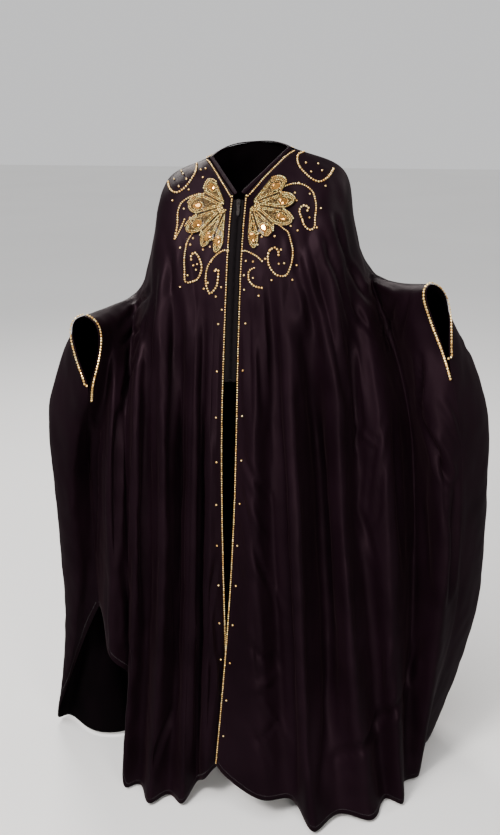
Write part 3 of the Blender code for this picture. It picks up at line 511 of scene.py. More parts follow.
def metal_look():
    """Dark satin metal with a faint brushed grain and brighter rubbed patches."""
    look = Look("Dark zip metal", Metallic=1.0)
    grain = look.noise(2600, squeeze=0.12)
    metal = chosen("metal")
    look.shade(Base_Color=look.ramp(look.noise(420), (0.35, metal), (0.75, metal * 2.4)),
               Roughness=0.34 + grain * 0.16, Normal=look.bump(grain, 0.15, 0.0002))
    return look.material


def gold_look(name, cell=310.0, tone=1.0):
    """Gold-lined glass beads: each a little lighter, deeper or duller than the next."""
    look = Look(name, Metallic=0.6, Coat_Weight=0.35, Coat_Roughness=0.08)
    each = look.cells(cell)
    gold = chosen("gold") * tone
    shade = look.ramp(each, (0.0, gold * (0.72, 0.60, 0.45)), (0.35, gold),
                      (0.75, np.minimum(gold * (1.06, 1.14, 1.30), 1)),
                      (1.0, np.minimum(gold * (1.12, 1.34, 2.1), 1)))
    look.shade(Base_Color=shade, Roughness=0.15 + each * 0.16 + look.noise(1400, 1) * 0.06)
    return look.material


def ground_look():
    """The dark ground that the motif's beads are sewn on, with its tiny bronze beads."""
    look = Look("Bronze bead ground", Metallic=0.7, Coat_Weight=0.1)
    near = look.node("TexVoronoi", Vector=look.place, Scale=430)
    each = look.cells(430)
    gold = chosen("gold")
    shade = look.ramp(each, (0.0, gold * 0.008), (0.65, gold * (0.03, 0.022, 0.02)),
                      (1.0, gold * 0.12))
    look.shade(Base_Color=shade, Roughness=0.26 + each * 0.14,
               Normal=look.bump(1 - near * near * 3.0, 0.8, 0.0012))
    return look.material


def crystal_look():
    """Foiled champagne crystal: near-mirror facets, each with its own tone."""
    look = Look("Champagne crystal", Metallic=0.85, Coat_Weight=0.3, Coat_Roughness=0.03)
    tone = look.noise(160, 1)
    crystal = chosen("crystal")
    shade = look.ramp(tone, (0.30, crystal * 0.55), (0.55, crystal),
                      (0.75, np.minimum(crystal * 1.25, 1)))
    look.shade(Base_Color=shade, Roughness=0.06 + tone * 0.06)
    return look.material


def thread_look():
    """Black sewing thread, a little shinier than the cloth, twisted."""
    look = Look("Black thread", Sheen_Weight=0.2)
    twist = look.bands("DIAGONAL", 1500)
    look.shade(Base_Color=(0.02, 0.016, 0.018), Roughness=0.42 + twist * 0.12,
               Normal=look.bump(twist, 0.3, 0.0001))
    return look.material


def finish_with(piece, kind, **settings):
    """Adds one modifier and applies it."""
    modifier = piece.modifiers.new(kind.title(), kind)
    for name, value in settings.items():
        setattr(modifier, name, value)
    with bpy.context.temp_override(object=piece, active_object=piece, selected_objects=[piece]):
        bpy.ops.object.modifier_apply(modifier=modifier.name)


def shade_smooth(piece, smooth=True):
    piece.data.polygons.foreach_set("use_smooth", [smooth] * len(piece.data.polygons))


def new_object(name, data):
    made = bpy.data.objects.new(name, data)
    bpy.context.scene.collection.objects.link(made)
    return made


def put_in_scene(name, mesh, look, smooth=True):
    piece = new_object(name, mesh)
    mesh.materials.clear()
    mesh.materials.append(look)
    shade_smooth(piece, smooth)
    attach(piece, "garment")
    return piece


def vectors_of(mesh, what="co"):
    """Each vertex's place, or its normal."""
    found = np.empty(len(mesh.vertices) * 3, np.float32)
    mesh.vertices.foreach_get(what, found)
    return found.reshape(-1, 3).astype(float)


def faces_of(mesh):
    return [tuple(face.vertices) for face in mesh.polygons]


def tree_of(mesh):
    return BVHTree.FromPolygons(vectors_of(mesh).tolist(), faces_of(mesh))


def unit(vector):
    return vector / max(np.linalg.norm(vector), 1e-9)


def gaps_to(points, others):
    """How far each point is from the nearest of the others."""
    return np.sqrt(((points[:, None] - others[None]) ** 2).sum(2).min(1))


def run_along(points):
    """How far along the line each of its points lies."""
    return np.concatenate([[0], np.cumsum(np.linalg.norm(np.diff(points, axis=0), axis=1))])


def even_steps(points, step):
    """The line's points again, at even steps along it."""
    run = run_along(points)
    at = np.linspace(0, run[-1], max(int(round(run[-1] / step)), 2) + 1)
    return np.stack([np.interp(at, run, column) for column in points.T], 1)


def tangents(path):
    way = np.gradient(path, axis=0)
    return way / np.maximum(np.linalg.norm(way, axis=1), 1e-9)[:, None]


class Cloth:
    """One finished panel's outer face, which the beads and stitches are placed on."""

    all = {}

    def __init__(self, name, mesh):
        self.points = vectors_of(mesh)
        self.faces = faces_of(mesh)
        self.tree = tree_of(mesh)
        self.loop = boundary_loop(mesh)
        self.centre_of_edge = {}
        for face in self.faces:
            middle = self.points[list(face)].mean(0)
            for a, b in zip(face, face[1:] + face[:1]):
                self.centre_of_edge[(min(a, b), max(a, b))] = middle
        Cloth.all[name] = self

    def nearest(self, point):
        place, normal, _, _ = self.tree.find_nearest(Vector(point))
        return np.array(place), np.array(normal)

    def shorter_way(self, start, end):
        """Places in the edge's loop from the start to the end, the shorter way round."""
        loop = self.points[self.loop]
        first = int(np.argmin(np.linalg.norm(loop - start, axis=1)))
        last = int(np.argmin(np.linalg.norm(loop - end, axis=1)))
        ways = []
        for turn in (1, -1):
            way = [first]
            while way[-1] != last:
                way.append((way[-1] + turn) % len(loop))
            ways.append(way)
        return min(ways, key=lambda way: run_along(loop[way])[-1])

    def beside_edge(self, start, end, inset):
        """A path beside the panel's edge between two places, and the outward normals there."""
        way = self.shorter_way(np.array(start), np.array(end))
        inward = []
        for here, there in zip(way, way[1:]):
            a, b = self.loop[here], self.loop[there]
            along = unit(self.points[b] - self.points[a])
            middle = self.centre_of_edge[(min(a, b), max(a, b))]
            side = middle - (self.points[a] + self.points[b]) / 2
            inward.append(unit(side - along * (side @ along)))
        inward.append(inward[-1])
        path = even_steps(self.points[self.loop][way] + np.array(inward) * inset, EDGE_STEP)
        kernel = np.ones(9) / 9
        ends = np.pad(path, ((4, 4), (0, 0)), mode="edge")
        path = np.stack([np.convolve(column, kernel, "valid") for column in ends.T], 1)
        path = np.array([self.nearest(point)[0] for point in path])
        return path, np.array([self.nearest(point)[1] for point in path])


def boundary_loop(mesh):
    """The vertices round the sheet's one edge, in order."""
    uses = {}
    for face in mesh.polygons:
        for key in face.edge_keys:
            uses[key] = uses.get(key, 0) + 1
    beside = {}
    for (a, b), count in uses.items():
        if count == 1:
            beside.setdefault(a, []).append(b)
            beside.setdefault(b, []).append(a)
    start = min(beside)
    loop = [start]
    before = None
    while True:
        ahead = [v for v in beside[loop[-1]] if v != before]
        before = loop[-1]
        if ahead[0] == start:
            return loop
        loop.append(ahead[0])


def solid_of(node):
    """The node's solid, its triangles' shared corners joined."""
    solid = bmesh.new()
    solid.from_mesh(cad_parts[node].data)
    bmesh.ops.remove_doubles(solid, verts=solid.verts, dist=1e-5)
    return solid


def as_mesh(form, name, angle):
    """The form as a mesh, with its triangles joined into four-sided faces."""
    bmesh.ops.join_triangles(form, faces=form.faces[:], angle_face_threshold=angle,
                             angle_shape_threshold=3.1)
    mesh = bpy.data.meshes.new(name)
    form.to_mesh(mesh)
    form.free()
    return mesh


def outer_sheet(node, facing):
    """The outer face of one panel's solid, as a sheet."""
    sheet = solid_of(node)
    rims = [face for face in sheet.faces
            if any(abs(edge.calc_length() - WALL) < 2e-5 for edge in face.edges)]
    bmesh.ops.delete(sheet, geom=rims, context="FACES")
    loose = set(sheet.faces)
    shells = []
    while loose:
        shell = [loose.pop()]
        for face in shell:
            for edge in face.edges:
                for other in edge.link_faces:
                    if other in loose:
                        loose.remove(other)
                        shell.append(other)
        shells.append(shell)
    shells.sort(key=len)
    if len(shells) < 2:
        raise RuntimeError(f"{node}: its two faces can't be told apart")

    def towards(shell):
        return sum(face.normal.y * face.calc_area() for face in shell) * facing

    keep = set(max(shells[-2:], key=towards))
    away = [face for face in sheet.faces if face not in keep]
    bmesh.ops.delete(sheet, geom=away, context="FACES")
    return as_mesh(sheet, node + "_cloth", 0.9)


def split_long_edges(mesh):
    """Halves the edges that run down the panel, so that creases there stay smooth."""
    sheet = bmesh.new()
    sheet.from_mesh(mesh)
    runs = []
    for edge in sheet.edges:
        way = edge.verts[1].co - edge.verts[0].co
        if abs(way.z) > 0.75 * way.length and way.length > LONGEST_EDGE:
            runs.append(edge)
    bmesh.ops.subdivide_edges(sheet, edges=runs, cuts=1, use_grid_fill=True)
    sheet.to_mesh(mesh)
    sheet.free()


def crease_track(tree, row, side):
    """Points down a crease as it lies on the panel, each with its share of the way."""
    start = np.array([row["x"], row["z"]])
    way = np.array([row["end_x"], row["end_z"]]) - start
    across = np.array([way[1], -way[0]]) / np.linalg.norm(way)
    track = []
    for share in np.linspace(0, 1, 33):
        bend = 4 * share * (1 - share) * row["bow"]
        x, z = start + way * share + across * bend
        hit = tree.ray_cast(Vector((x, side * FAR, z)), Vector((0, -side, 0)))[0]
        if hit is not None:
            track.append((share, np.array(hit)))
    return track


def crinkle(x, y, z):
    """How far broad waves and fine ones together move the cloth at one place."""
    broad = noise.noise(Vector((x * 17, y * 17, z * 6))) * 0.0020
    return broad + noise.noise(Vector((x * 38 + 7, y * 38, z * 21))) * 0.0009


def press_creases(mesh, rows, side, strength):
    """Moves the sheet in along its troughs and out along its ridges, less towards its edges."""
    points = vectors_of(mesh)
    tree = tree_of(mesh)
    rim = points[boundary_loop(mesh)]
    fade = np.ones(len(points))
    for start in range(0, len(points), 4000):
        part = slice(start, start + 4000)
        fade[part] = np.clip(gaps_to(points[part], rim) / EDGE_FADE, 0, 1) ** 1.5
    moved = np.zeros(len(points))
    for row in table(np.array(rows) / MM_PER_M, CREASE_COLUMNS):
        track = crease_track(tree, row, side)
        if len(track) < 4:
            continue
        best = np.full(len(points), 9.0)
        taper = np.zeros(len(points))
        for (share, a), (next_share, b) in zip(track, track[1:]):
            run = b - a
            square = run @ run
            if not 1e-9 <= square <= LONGEST_LEAP ** 2:
                continue
            t = np.clip((points - a) @ run / square, 0, 1)
            gap = np.linalg.norm(points - a - t[:, None] * run, axis=1)
            near = gap < best
            best[near] = gap[near]
            at = share + (next_share - share) * t[near]
            taper[near] = np.sin(np.pi * np.clip(at, 0, 1)) ** 0.7
        u = best / row["width"]
        shape = np.exp(-np.abs(u) ** 1.35) - 0.34 * np.exp(-((u - 2.1) ** 2) / 0.7)
        moved -= row["depth"] * taper * shape
    soft = np.array([crinkle(*point) for point in points])
    points += vectors_of(mesh, "normal") * ((moved + soft) * fade * strength)[:, None]
    mesh.vertices.foreach_set("co", points.astype(np.float32).ravel())
    mesh.update()


def make_panel(node, facing, creases):
    """One panel of cloth: smoothed, creased, and given its thickness on the inside."""
    sizes = bpy.context.scene.abaya_sizes
    piece = put_in_scene(node + "_cloth", outer_sheet(node, facing), satin_look())
    smoother = {"levels": 1, "render_levels": 1, "boundary_smooth": "PRESERVE_CORNERS"}
    finish_with(piece, "SUBSURF", **smoother)
    split_long_edges(piece.data)
    finish_with(piece, "SUBSURF", **smoother)
    press_creases(piece.data, creases, facing, sizes.crease)
    Cloth(node, piece.data)
    # the inner face takes the matt crepe whose darker colour is painted shade for the shadow inside
    # the garment
    piece.data.materials.append(crepe_painted_shade_look())
    finish_with(piece, "SOLIDIFY", thickness=sizes.cloth, offset=-1, use_even_offset=False,
                material_offset=1)
    shade_smooth(piece)
    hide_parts(node)


def soft_copy(node, name, look, rounded=True):
    """A copy of a soft node's solid, its edges rounded off."""
    piece = put_in_scene(name, as_mesh(solid_of(node), name, 0.7), look)
    if rounded:
        finish_with(piece, "BEVEL", width=SOFT_EDGE, segments=1, limit_method="ANGLE",
                    angle_limit=math.radians(50))
        finish_with(piece, "SUBSURF", levels=1, render_levels=1)
        shade_smooth(piece)
    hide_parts(node)
    return piece


class Shape:
    """One small thing modelled once, whose copies are set into larger pieces."""

    def __init__(self, piece):
        bpy.ops.object.mode_set(mode="OBJECT")
        self.points = vectors_of(piece.data)
        self.faces = sorted(faces_of(piece.data))
        bpy.data.objects.remove(piece, do_unlink=True)


def start_shape(add, **settings):
    """A primitive, added with nothing else selected."""
    bpy.ops.object.select_all(action="DESELECT")
    add(**settings)
    return bpy.context.object


def edit_all():
    bpy.ops.object.mode_set(mode="EDIT")
    bpy.ops.mesh.select_all(action="SELECT")


def extrude(height):
    bpy.ops.mesh.extrude_region_move(TRANSFORM_OT_translate={"value": (0, 0, height)})


def resize(across, up=1, **centre):
    bpy.ops.transform.resize(value=(across, across, up), **centre)


def lay_along_x():
    bpy.ops.transform.rotate(value=math.pi / 2, orient_axis="Y", center_override=(0, 0, 0))


def face_outwards():
    bpy.ops.mesh.select_all(action="SELECT")
    bpy.ops.mesh.normals_make_consistent(inside=False)


def round_bead():
    """A ball one unit across, a little flattened where its hole runs."""
    ball = start_shape(bpy.ops.mesh.primitive_ico_sphere_add, subdivisions=1, radius=0.5)
    edit_all()
    resize(1, 0.86)
    return Shape(ball)


def smooth_bead():
    """A rounder ball one unit across, for the lines that stand alone on the cloth."""
    ball = start_shape(bpy.ops.mesh.primitive_uv_sphere_add, segments=8, ring_count=5, radius=0.5)
    edit_all()
    resize(1, 0.88)
    return Shape(ball)


def chain_stone():
    """A round stone one unit across in its cup: a short wall, a bevelled crown and a flat table."""
    stone = start_shape(bpy.ops.mesh.primitive_circle_add, vertices=8, radius=0.5,
                        fill_type="NGON")
    edit_all()
    extrude(0.26)
    resize(0.98)
    extrude(0.20)
    resize(0.52)
    face_outwards()
    return Shape(stone)


def teardrop_stone():
    """A teardrop crystal one unit wide, its point to +Y: a girdle, facets and a flat table."""
    stone = start_shape(bpy.ops.mesh.primitive_circle_add, vertices=14, radius=0.5,
                        fill_type="NGON")
    for vertex in stone.data.vertices:
        x, y, _ = vertex.co
        if y > 0:
            rise = y / 0.5
            vertex.co.y = 1.05 * rise
            vertex.co.x = x * (1 - 0.50 * rise ** 2)
    edit_all()
    extrude(0.14)
    extrude(0.14)
    resize(0.80, center_override=(0, 0.15, 0))
    extrude(0.08)
    resize(0.66, center_override=(0, 0.15, 0))
    bpy.ops.mesh.poke()
    face_outwards()
    return Shape(stone)


def stitch_shape():
    """One stitch one unit long along X: a spindle of thread."""
    stitch = start_shape(bpy.ops.mesh.primitive_cylinder_add, vertices=4, radius=0.1, depth=1,
                         end_fill_type="TRIFAN")
    edit_all()
    lay_along_x()
    bpy.ops.object.mode_set(mode="OBJECT")
    for vertex in stitch.data.vertices:
        if abs(vertex.co.x) > 0.4 and abs(vertex.co.y) < 0.01 and abs(vertex.co.z) < 0.01:
            vertex.co.x *= 1.15
    return Shape(stitch)


def zip_tooth():
    """One turn of the zip's coil one unit wide: a rounded bar across the chain."""
    tooth = start_shape(bpy.ops.mesh.primitive_cylinder_add, vertices=6, radius=0.22, depth=1)
    edit_all()
    lay_along_x()
    bpy.ops.mesh.bevel(offset=0.06, segments=1)
    return Shape(tooth)


class Sewn:
    """Copies of small shapes gathered into one piece."""

    def __init__(self):
        self.points = []
        self.faces = []
        self.count = 0

    def add(self, shape, centre, along, up, size, lift=BEAD_LIFT):
        """One copy, its X along the row and its Z up off the cloth."""
        z = unit(np.array(up))
        x = unit(along - z * (np.array(along) @ z))
        size = np.broadcast_to(size, 3)
        place = centre + z * (size[2] * lift)
        self.points.append(shape.points * size @ np.array([x, np.cross(z, x), z]) + place)
        self.faces += [tuple(self.count + k for k in face) for face in shape.faces]
        self.count += len(shape.points)

    def make(self, name, look, smooth=True):
        if not self.points:
            raise RuntimeError(f"{name}: nothing was placed")
        mesh = bpy.data.meshes.new(name)
        mesh.from_pydata(np.concatenate(self.points).tolist(), [], self.faces)
        mesh.update()
        return put_in_scene(name, mesh, look, smooth)


class Front:
    """Some sheets, each its points and faces, as met by a line from the front."""

    def __init__(self, *sheets):
        points = []
        faces = []
        for sheet_points, sheet_faces in sheets:
            base = len(points)
            points += sheet_points.tolist()
            faces += [tuple(base + k for k in face) for face in sheet_faces]
        self.tree = BVHTree.FromPolygons(points, faces)

    def at(self, x, z):
        place, normal, _, _ = self.tree.ray_cast(Vector((x, -FAR, z)), Vector((0, 1, 0)))
        if place is None:
            return None
        if normal.y > 0:
            normal = -normal
        return np.array(place), np.array(normal)


def curve_through(places, step=0.0004):
    """A smooth curve through flat places, at small steps."""
    points = np.array([places[0], *places, places[-1]], float)
    found = []
    for i in range(1, len(points) - 2):
        a, b, c, d = points[i - 1: i + 3]
        count = max(int(np.linalg.norm(c - b) / step), 2)
        for k in range(count):
            t = k / count
            found.append(0.5 * (2 * b + (c - a) * t + (2 * a - 5 * b + 4 * c - d) * t ** 2
                                + (3 * b - a - 3 * c + d) * t ** 3))
    found.append(points[-2])
    return np.array(found)


def bead_row(sewn, shape, points, normals, start_size, end_size, gap):
    """Beads along a path, growing from the first size to the last."""
    run = run_along(points)
    at = 0.0
    while at <= run[-1]:
        k = min(int(np.searchsorted(run, at)), len(points) - 1)
        before, after = max(k - 3, 0), min(k + 3, len(points) - 1)
        size = start_size + (end_size - start_size) * at / run[-1]
        sewn.add(shape, points[k], points[after] - points[before], normals[k], size)
        at += size * gap


def direction(angle):
    return np.array((math.cos(angle), math.sin(angle)))


def square_to(way):
    return np.array((way[1], -way[0]))


def lobe_outlines(base, rows):
    """Each lobe's edge as seen from the front, from one notch round its tip to the next."""
    lobes = []
    for row in table(rows, MOTIF_COLUMNS):
        angle = math.atan2(row["tip_z"], row["tip_x"])
        if lobes:
            angle = lobes[-1][0] + math.remainder(angle - lobes[-1][0], 2 * math.pi)
        reach = math.hypot(row["tip_x"], row["tip_z"])
        lobes.append((angle, reach, math.radians(row["half_angle"])))
    sign = 1 if lobes[-1][0] > lobes[0][0] else -1
    found = []
    for i, (angle, reach, half) in enumerate(lobes):
        ends = []
        for other, turn in ((i - 1, -sign), (i + 1, sign)):
            if 0 <= other < len(lobes):
                ends.append(((angle + lobes[other][0]) / 2, (reach + lobes[other][1]) / 2))
            else:
                ends.append((angle + turn * half, reach))
        outline = []
        for share in np.linspace(0, 1, 41):
            end_angle, end_reach = ends[0] if share < 0.5 else ends[1]
            out = 1 - abs(share - 0.5) * 2
            notch = end_reach * MOTIF_NOTCH
            far = notch + (reach - notch) * (1 - (1 - out) ** 1.9)
            outline.append(base + far * direction(angle + (end_angle - angle) * (1 - out)))
        middle = base + reach * CRYSTAL_PLACE * direction(angle)
        found.append((np.array(outline), middle, direction(angle)))
    return found


def inner_row(closed, offset, step):
    """The closed outline moved inwards, without the stretches that would fold over themselves."""
    fine = even_steps(closed, 0.0006)
    way = np.roll(fine, -1, 0) - np.roll(fine, 1, 0)
    way /= np.maximum(np.linalg.norm(way, axis=1), 1e-9)[:, None]
    side = np.stack([-way[:, 1], way[:, 0]], 1)
    area = np.sum(fine[:, 0] * np.roll(fine[:, 1], -1) - np.roll(fine[:, 0], -1) * fine[:, 1])
    moved = fine + side * offset * (1 if area > 0 else -1)
    found = []
    for point in moved[gaps_to(moved, fine) > offset * 0.97 - 0.00005]:
        if all(np.linalg.norm(point - other) >= step for other in found[-3:] + found[:2]):
            found.append(point)
    return found


def fill_motif(front, base, rows, beads, fill, stones, shapes):
    """Rim beads round each lobe, rows of smaller ones inside it, and a crystal near its tip."""
    sizes = bpy.context.scene.abaya_sizes
    rim, small = sizes.rim_bead, sizes.fill_bead
    bead, stone = shapes
    placed = []
    lobes = lobe_outlines(base, rows)

    def sew(place, size, way, least, into=beads):
        x, z = place
        if any((x - a) ** 2 + (z - b) ** 2 < least * least for a, b in placed):
            return
        met = front.at(x, z)
        if met is not None:
            placed.append((x, z))
            into.add(bead, met[0], (way[0], 0, way[1]), met[1], size, PAD_LIFT)

    heart = sum(tip for _, _, tip in lobes)
    heart = base + heart / np.linalg.norm(heart) * HEART_REACH
    sew(heart, HEART_BEAD, (1, 0), 0.001)
    for radius, count, size in ((0.0050, 9, 0.0030), (0.0084, 15, rim)):  # rings round the heart
        for share in np.linspace(0, 2 * math.pi, count + 1)[:-1]:
            out = direction(share)
            sew(heart + out * radius, size, out, size * 0.86)
    for outline, middle, tip in lobes:
        met = front.at(*middle)
        if met is not None:
            across = np.cross((tip[0], 0, tip[1]), met[1])
            stones.add(stone, met[0] - met[1] * 0.0003, across, met[1], CRYSTAL, 0.0)
        edge = even_steps(outline, rim * 1.06)
        for a, b in zip(edge, edge[1:]):
            sew(a, rim, b - a, rim * 0.86)
        for share in np.linspace(0, 2 * math.pi, 17)[:-1]:
            place = (middle + square_to(tip) * (math.sin(share) * RING[0])
                     + tip * (math.cos(share) * RING[1] + CRYSTAL_SHIFT))
            sew(place, small * 0.92, square_to(tip), small * 0.80)
    for outline, middle, tip in lobes:
        side = square_to(tip)
        closed = np.concatenate([outline, [base - tip * 0.004], outline[:1]])
        for row in range(8):
            into = beads if row < 2 else fill
            for place in inner_row(closed, rim * 0.95 + row * small * 1.22, small * 1.12):
                away = place - middle - tip * CRYSTAL_SHIFT
                if (away @ side / CLEARING[0]) ** 2 + (away @ tip / CLEARING[1]) ** 2 >= 1:
                    sew(place, small, side, small * 0.88, into)


def raised_onto(tree, point, normal):
    """The point moved out along its normal onto what lies over the cloth there."""
    away = Vector(point) + Vector(normal) * 0.008
    hit = tree.ray_cast(away, -Vector(normal), 0.0085)[0]
    return point if hit is None else np.array(hit)


def coil_path(top, bottom):
    """Down the middle between the zip tapes' inner edges, on their outer side, and smoothed."""
    sides = ((vectors_of(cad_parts["zip_tape_left"].data), 1),
             (vectors_of(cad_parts["zip_tape_right"].data), -1))
    places = []
    level = top
    while level > bottom:
        ends = []
        for tape, inner in sides:
            near = tape[np.abs(tape[:, 2] - level) < 0.022]
            nearest = near[np.argsort(-inner * near[:, 0])][:8]
            ends.append((nearest[:, 0].mean(), nearest[:, 1].min()))
        places.append(((ends[0][0] + ends[1][0]) / 2, min(ends[0][1], ends[1][1]), level))
        level -= 0.004
    path = np.array(places)
    for axis, degree in ((0, 4), (1, 5)):
        path[:, axis] = np.polyval(np.polyfit(path[:, 2], path[:, axis], degree), path[:, 2])
    return even_steps(path, TOOTH_STEP)


class ABAYA_OT_back(bpy.types.Operator):
    """Make the back panel"""

    bl_idname = "abaya.back"
    bl_label = "Back panel"

    def execute(self, context):
        make_panel("back", 1, BACK_CREASES)
        return {"FINISHED"}


class ABAYA_OT_fronts(bpy.types.Operator):
    """Make the two front panels"""

    bl_idname = "abaya.fronts"
    bl_label = "Front panels"

    def execute(self, context):
        make_panel("front_right", -1, FRONT_RIGHT_CREASES)
        make_panel("front_left", -1, FRONT_LEFT_CREASES)
        return {"FINISHED"}


class ABAYA_OT_binding(bpy.types.Operator):
    """Make the tape folded over the neck edge"""

    bl_idname = "abaya.binding"
    bl_label = "Neck binding"

    def execute(self, context):
        binding = soft_copy("neck_binding", "neck_binding_cloth", satin_look("Binding satin", 1.4))
        return {"FINISHED"}


class ABAYA_OT_zip(bpy.types.Operator):
    """Make the zip's tapes and coil, and finish its metal"""

    bl_idname = "abaya.zip"
    bl_label = "Front zip"

    def execute(self, context):
        tape = tape_look()
        for side in ("left", "right"):
            piece = soft_copy("zip_tape_" + side, f"zip_tape_{side}_cloth", tape, False)
            finish_with(piece, "BEVEL", width=SOFT_EDGE, segments=2, limit_method="ANGLE",
                        angle_limit=math.radians(40))
        metal = metal_look()
        for node in ("zip_slider", "zip_pull", "zip_stop"):
            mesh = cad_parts[node].data
            slots = max(len(mesh.materials), 1)
            mesh.materials.clear()
            for _ in range(slots):
                mesh.materials.append(metal)
        tooth = zip_tooth()
        coil = Sewn()
        across = np.array((1.0, 0, 0))
        path = coil_path(COIL_TOP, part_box("zip_stop")[1][2] + 0.002)
        for k, (point, way) in enumerate(zip(path, tangents(path))):
            up = np.cross(way, across)
            up *= -np.sign(up[1])
            shift = across * (0.0007 if k % 2 else -0.0007)
            coil.add(tooth, point + shift, across, up, TOOTH, 0.35)
        coil.make("zip_coil", tape)
        return {"FINISHED"}


class ABAYA_OT_motifs(bpy.types.Operator):
    """Make the two leaf motifs of beads and crystals"""

    bl_idname = "abaya.motifs"
    bl_label = "Leaf motifs"

    def execute(self, context):
        shapes = (round_bead(), teardrop_stone())
        ground = ground_look()
        gold = gold_look("Gold motif beads", 310.0, 1.15)
        bronze = gold_look("Bronze fill beads", 380.0, 0.30)
        crystal = crystal_look()
        for side, base, rows in (("right", MOTIF_RIGHT_BASE, MOTIF_RIGHT),
                                 ("left", MOTIF_LEFT_BASE, MOTIF_LEFT)):
            pad = soft_copy("motif_" + side, f"motif_{side}_ground", ground).data
            beads = Sewn()
            fill = Sewn()
            stones = Sewn()
            front = Front((vectors_of(pad), faces_of(pad)))
            fill_motif(front, np.array(base), rows, beads, fill, stones, shapes)
            beads.make(f"motif_{side}_rims", gold)
            fill.make(f"motif_{side}_fill", bronze)
            stones.make(f"motif_{side}_crystals", crystal, smooth=False)
        return {"FINISHED"}


class ABAYA_OT_bead_lines(bpy.types.Operator):
    """Sew a line of beads down each front edge and round the neck"""

    bl_idname = "abaya.bead_lines"
    bl_label = "Bead lines"

    def execute(self, context):
        sizes = context.scene.abaya_sizes
        bead = smooth_bead()
        binding = tree_of(bpy.data.objects["neck_binding_cloth"].data)
        lines = Sewn()
        gap = sizes.line_pitch / sizes.line_bead
        for panel, start, end, inset in (
                ("front_right", NECK_RIGHT, FRONT_HEM_RIGHT, LINE_INSET),
                ("front_left", NECK_LEFT, FRONT_HEM_LEFT, LINE_INSET),
                ("front_right", NECK_RIGHT, SHOULDER_RIGHT, NECK_INSET),
                ("front_left", NECK_LEFT, SHOULDER_LEFT, NECK_INSET),
                ("back", SHOULDER_LEFT, SHOULDER_RIGHT, NECK_INSET)):
            path, normals = Cloth.all[panel].beside_edge(start, end, inset)
            if inset == NECK_INSET:
                path = np.array([raised_onto(binding, *pair) for pair in zip(path, normals)])
            bead_row(lines, bead, path, normals, sizes.line_bead, sizes.line_bead, gap)
        lines.make("edge_bead_lines", gold_look("Gold line beads"))
        return {"FINISHED"}


class ABAYA_OT_scrolls(bpy.types.Operator):
    """Sew the beaded scrolls and the single beads between them"""

    bl_idname = "abaya.scrolls"
    bl_label = "Scrolls and single beads"

    def execute(self, context):
        sizes = context.scene.abaya_sizes
        bead = smooth_bead()
        panels = (Cloth.all["front_left"], Cloth.all["front_right"])
        front = Front(*[(panel.points, panel.faces) for panel in panels])
        scrolls = Sewn()
        for _, first, last, places in SCROLLS:
            row = [front.at(x, z) for x, z in curve_through(np.array(places) / MM_PER_M)]
            points, normals = zip(*[met for met in row if met is not None])
            bead_row(scrolls, bead, np.array(points), np.array(normals), first / MM_PER_M,
                     last / MM_PER_M, SCROLL_GAP)
        gold = gold_look("Gold scroll beads")
        scrolls.make("beaded_scrolls", gold)
        singles = Sewn()
        for x, z in np.array(SINGLES) / MM_PER_M:
            met = front.at(x, z)
            if met is not None:
                singles.add(bead, met[0], (1, 0, 0), met[1], sizes.single_bead)
        for panel, start, end in (("front_right", NECK_RIGHT, FRONT_HEM_RIGHT),
                                  ("front_left", NECK_LEFT, FRONT_HEM_LEFT)):
            path, normals = Cloth.all[panel].beside_edge(start, end, SINGLES_INSET)
            for k in range(FIRST_SINGLE, len(path) - 20, NEXT_SINGLE):
                singles.add(bead, path[k], (1, 0, 0), normals[k], sizes.single_bead)
        singles.make("single_beads", gold)
        return {"FINISHED"}


class ABAYA_OT_cuffs(bpy.types.Operator):
    """Sew the chain of stones round each wrist opening, with its tail"""

    bl_idname = "abaya.cuffs"
    bl_label = "Wrist chains"

    def execute(self, context):
        sizes = context.scene.abaya_sizes
        stone = chain_stone()
        size = sizes.chain_bead
        gold = gold_look("Gold chain stones", 190.0)
        for side, wrist, end in (("right", WRIST_RIGHT, OPENING_END_RIGHT),
                                 ("left", WRIST_LEFT, OPENING_END_LEFT)):
            chain = Sewn()
            tail_end = (end[0], end[1], end[2] - sizes.chain_tail)
            front, normals = Cloth.all["front_" + side].beside_edge(wrist, tail_end, CHAIN_INSET)
            bead_row(chain, stone, front, normals, size, size, CHAIN_GAP)
            path, normals = Cloth.all["back"].beside_edge(wrist, end, CHAIN_INSET)
            half = len(path) // 2
            close = np.nonzero(gaps_to(path, front)[half:] < size * 1.6)[0]
            stop = half + close[0] if len(close) else len(path)
            meet = front[int(np.argmin(np.linalg.norm(front - path[stop - 1], axis=1)))]
            path = np.concatenate([path[:stop], np.linspace(path[stop - 1], meet, 8)[1:5]])
            normals = np.concatenate([normals[:stop], np.repeat(normals[stop - 1: stop], 4, 0)])
            bead_row(chain, stone, path, normals, size, size, CHAIN_GAP)
            chain.make(f"wrist_chain_{side}", gold, smooth=False)
        return {"FINISHED"}


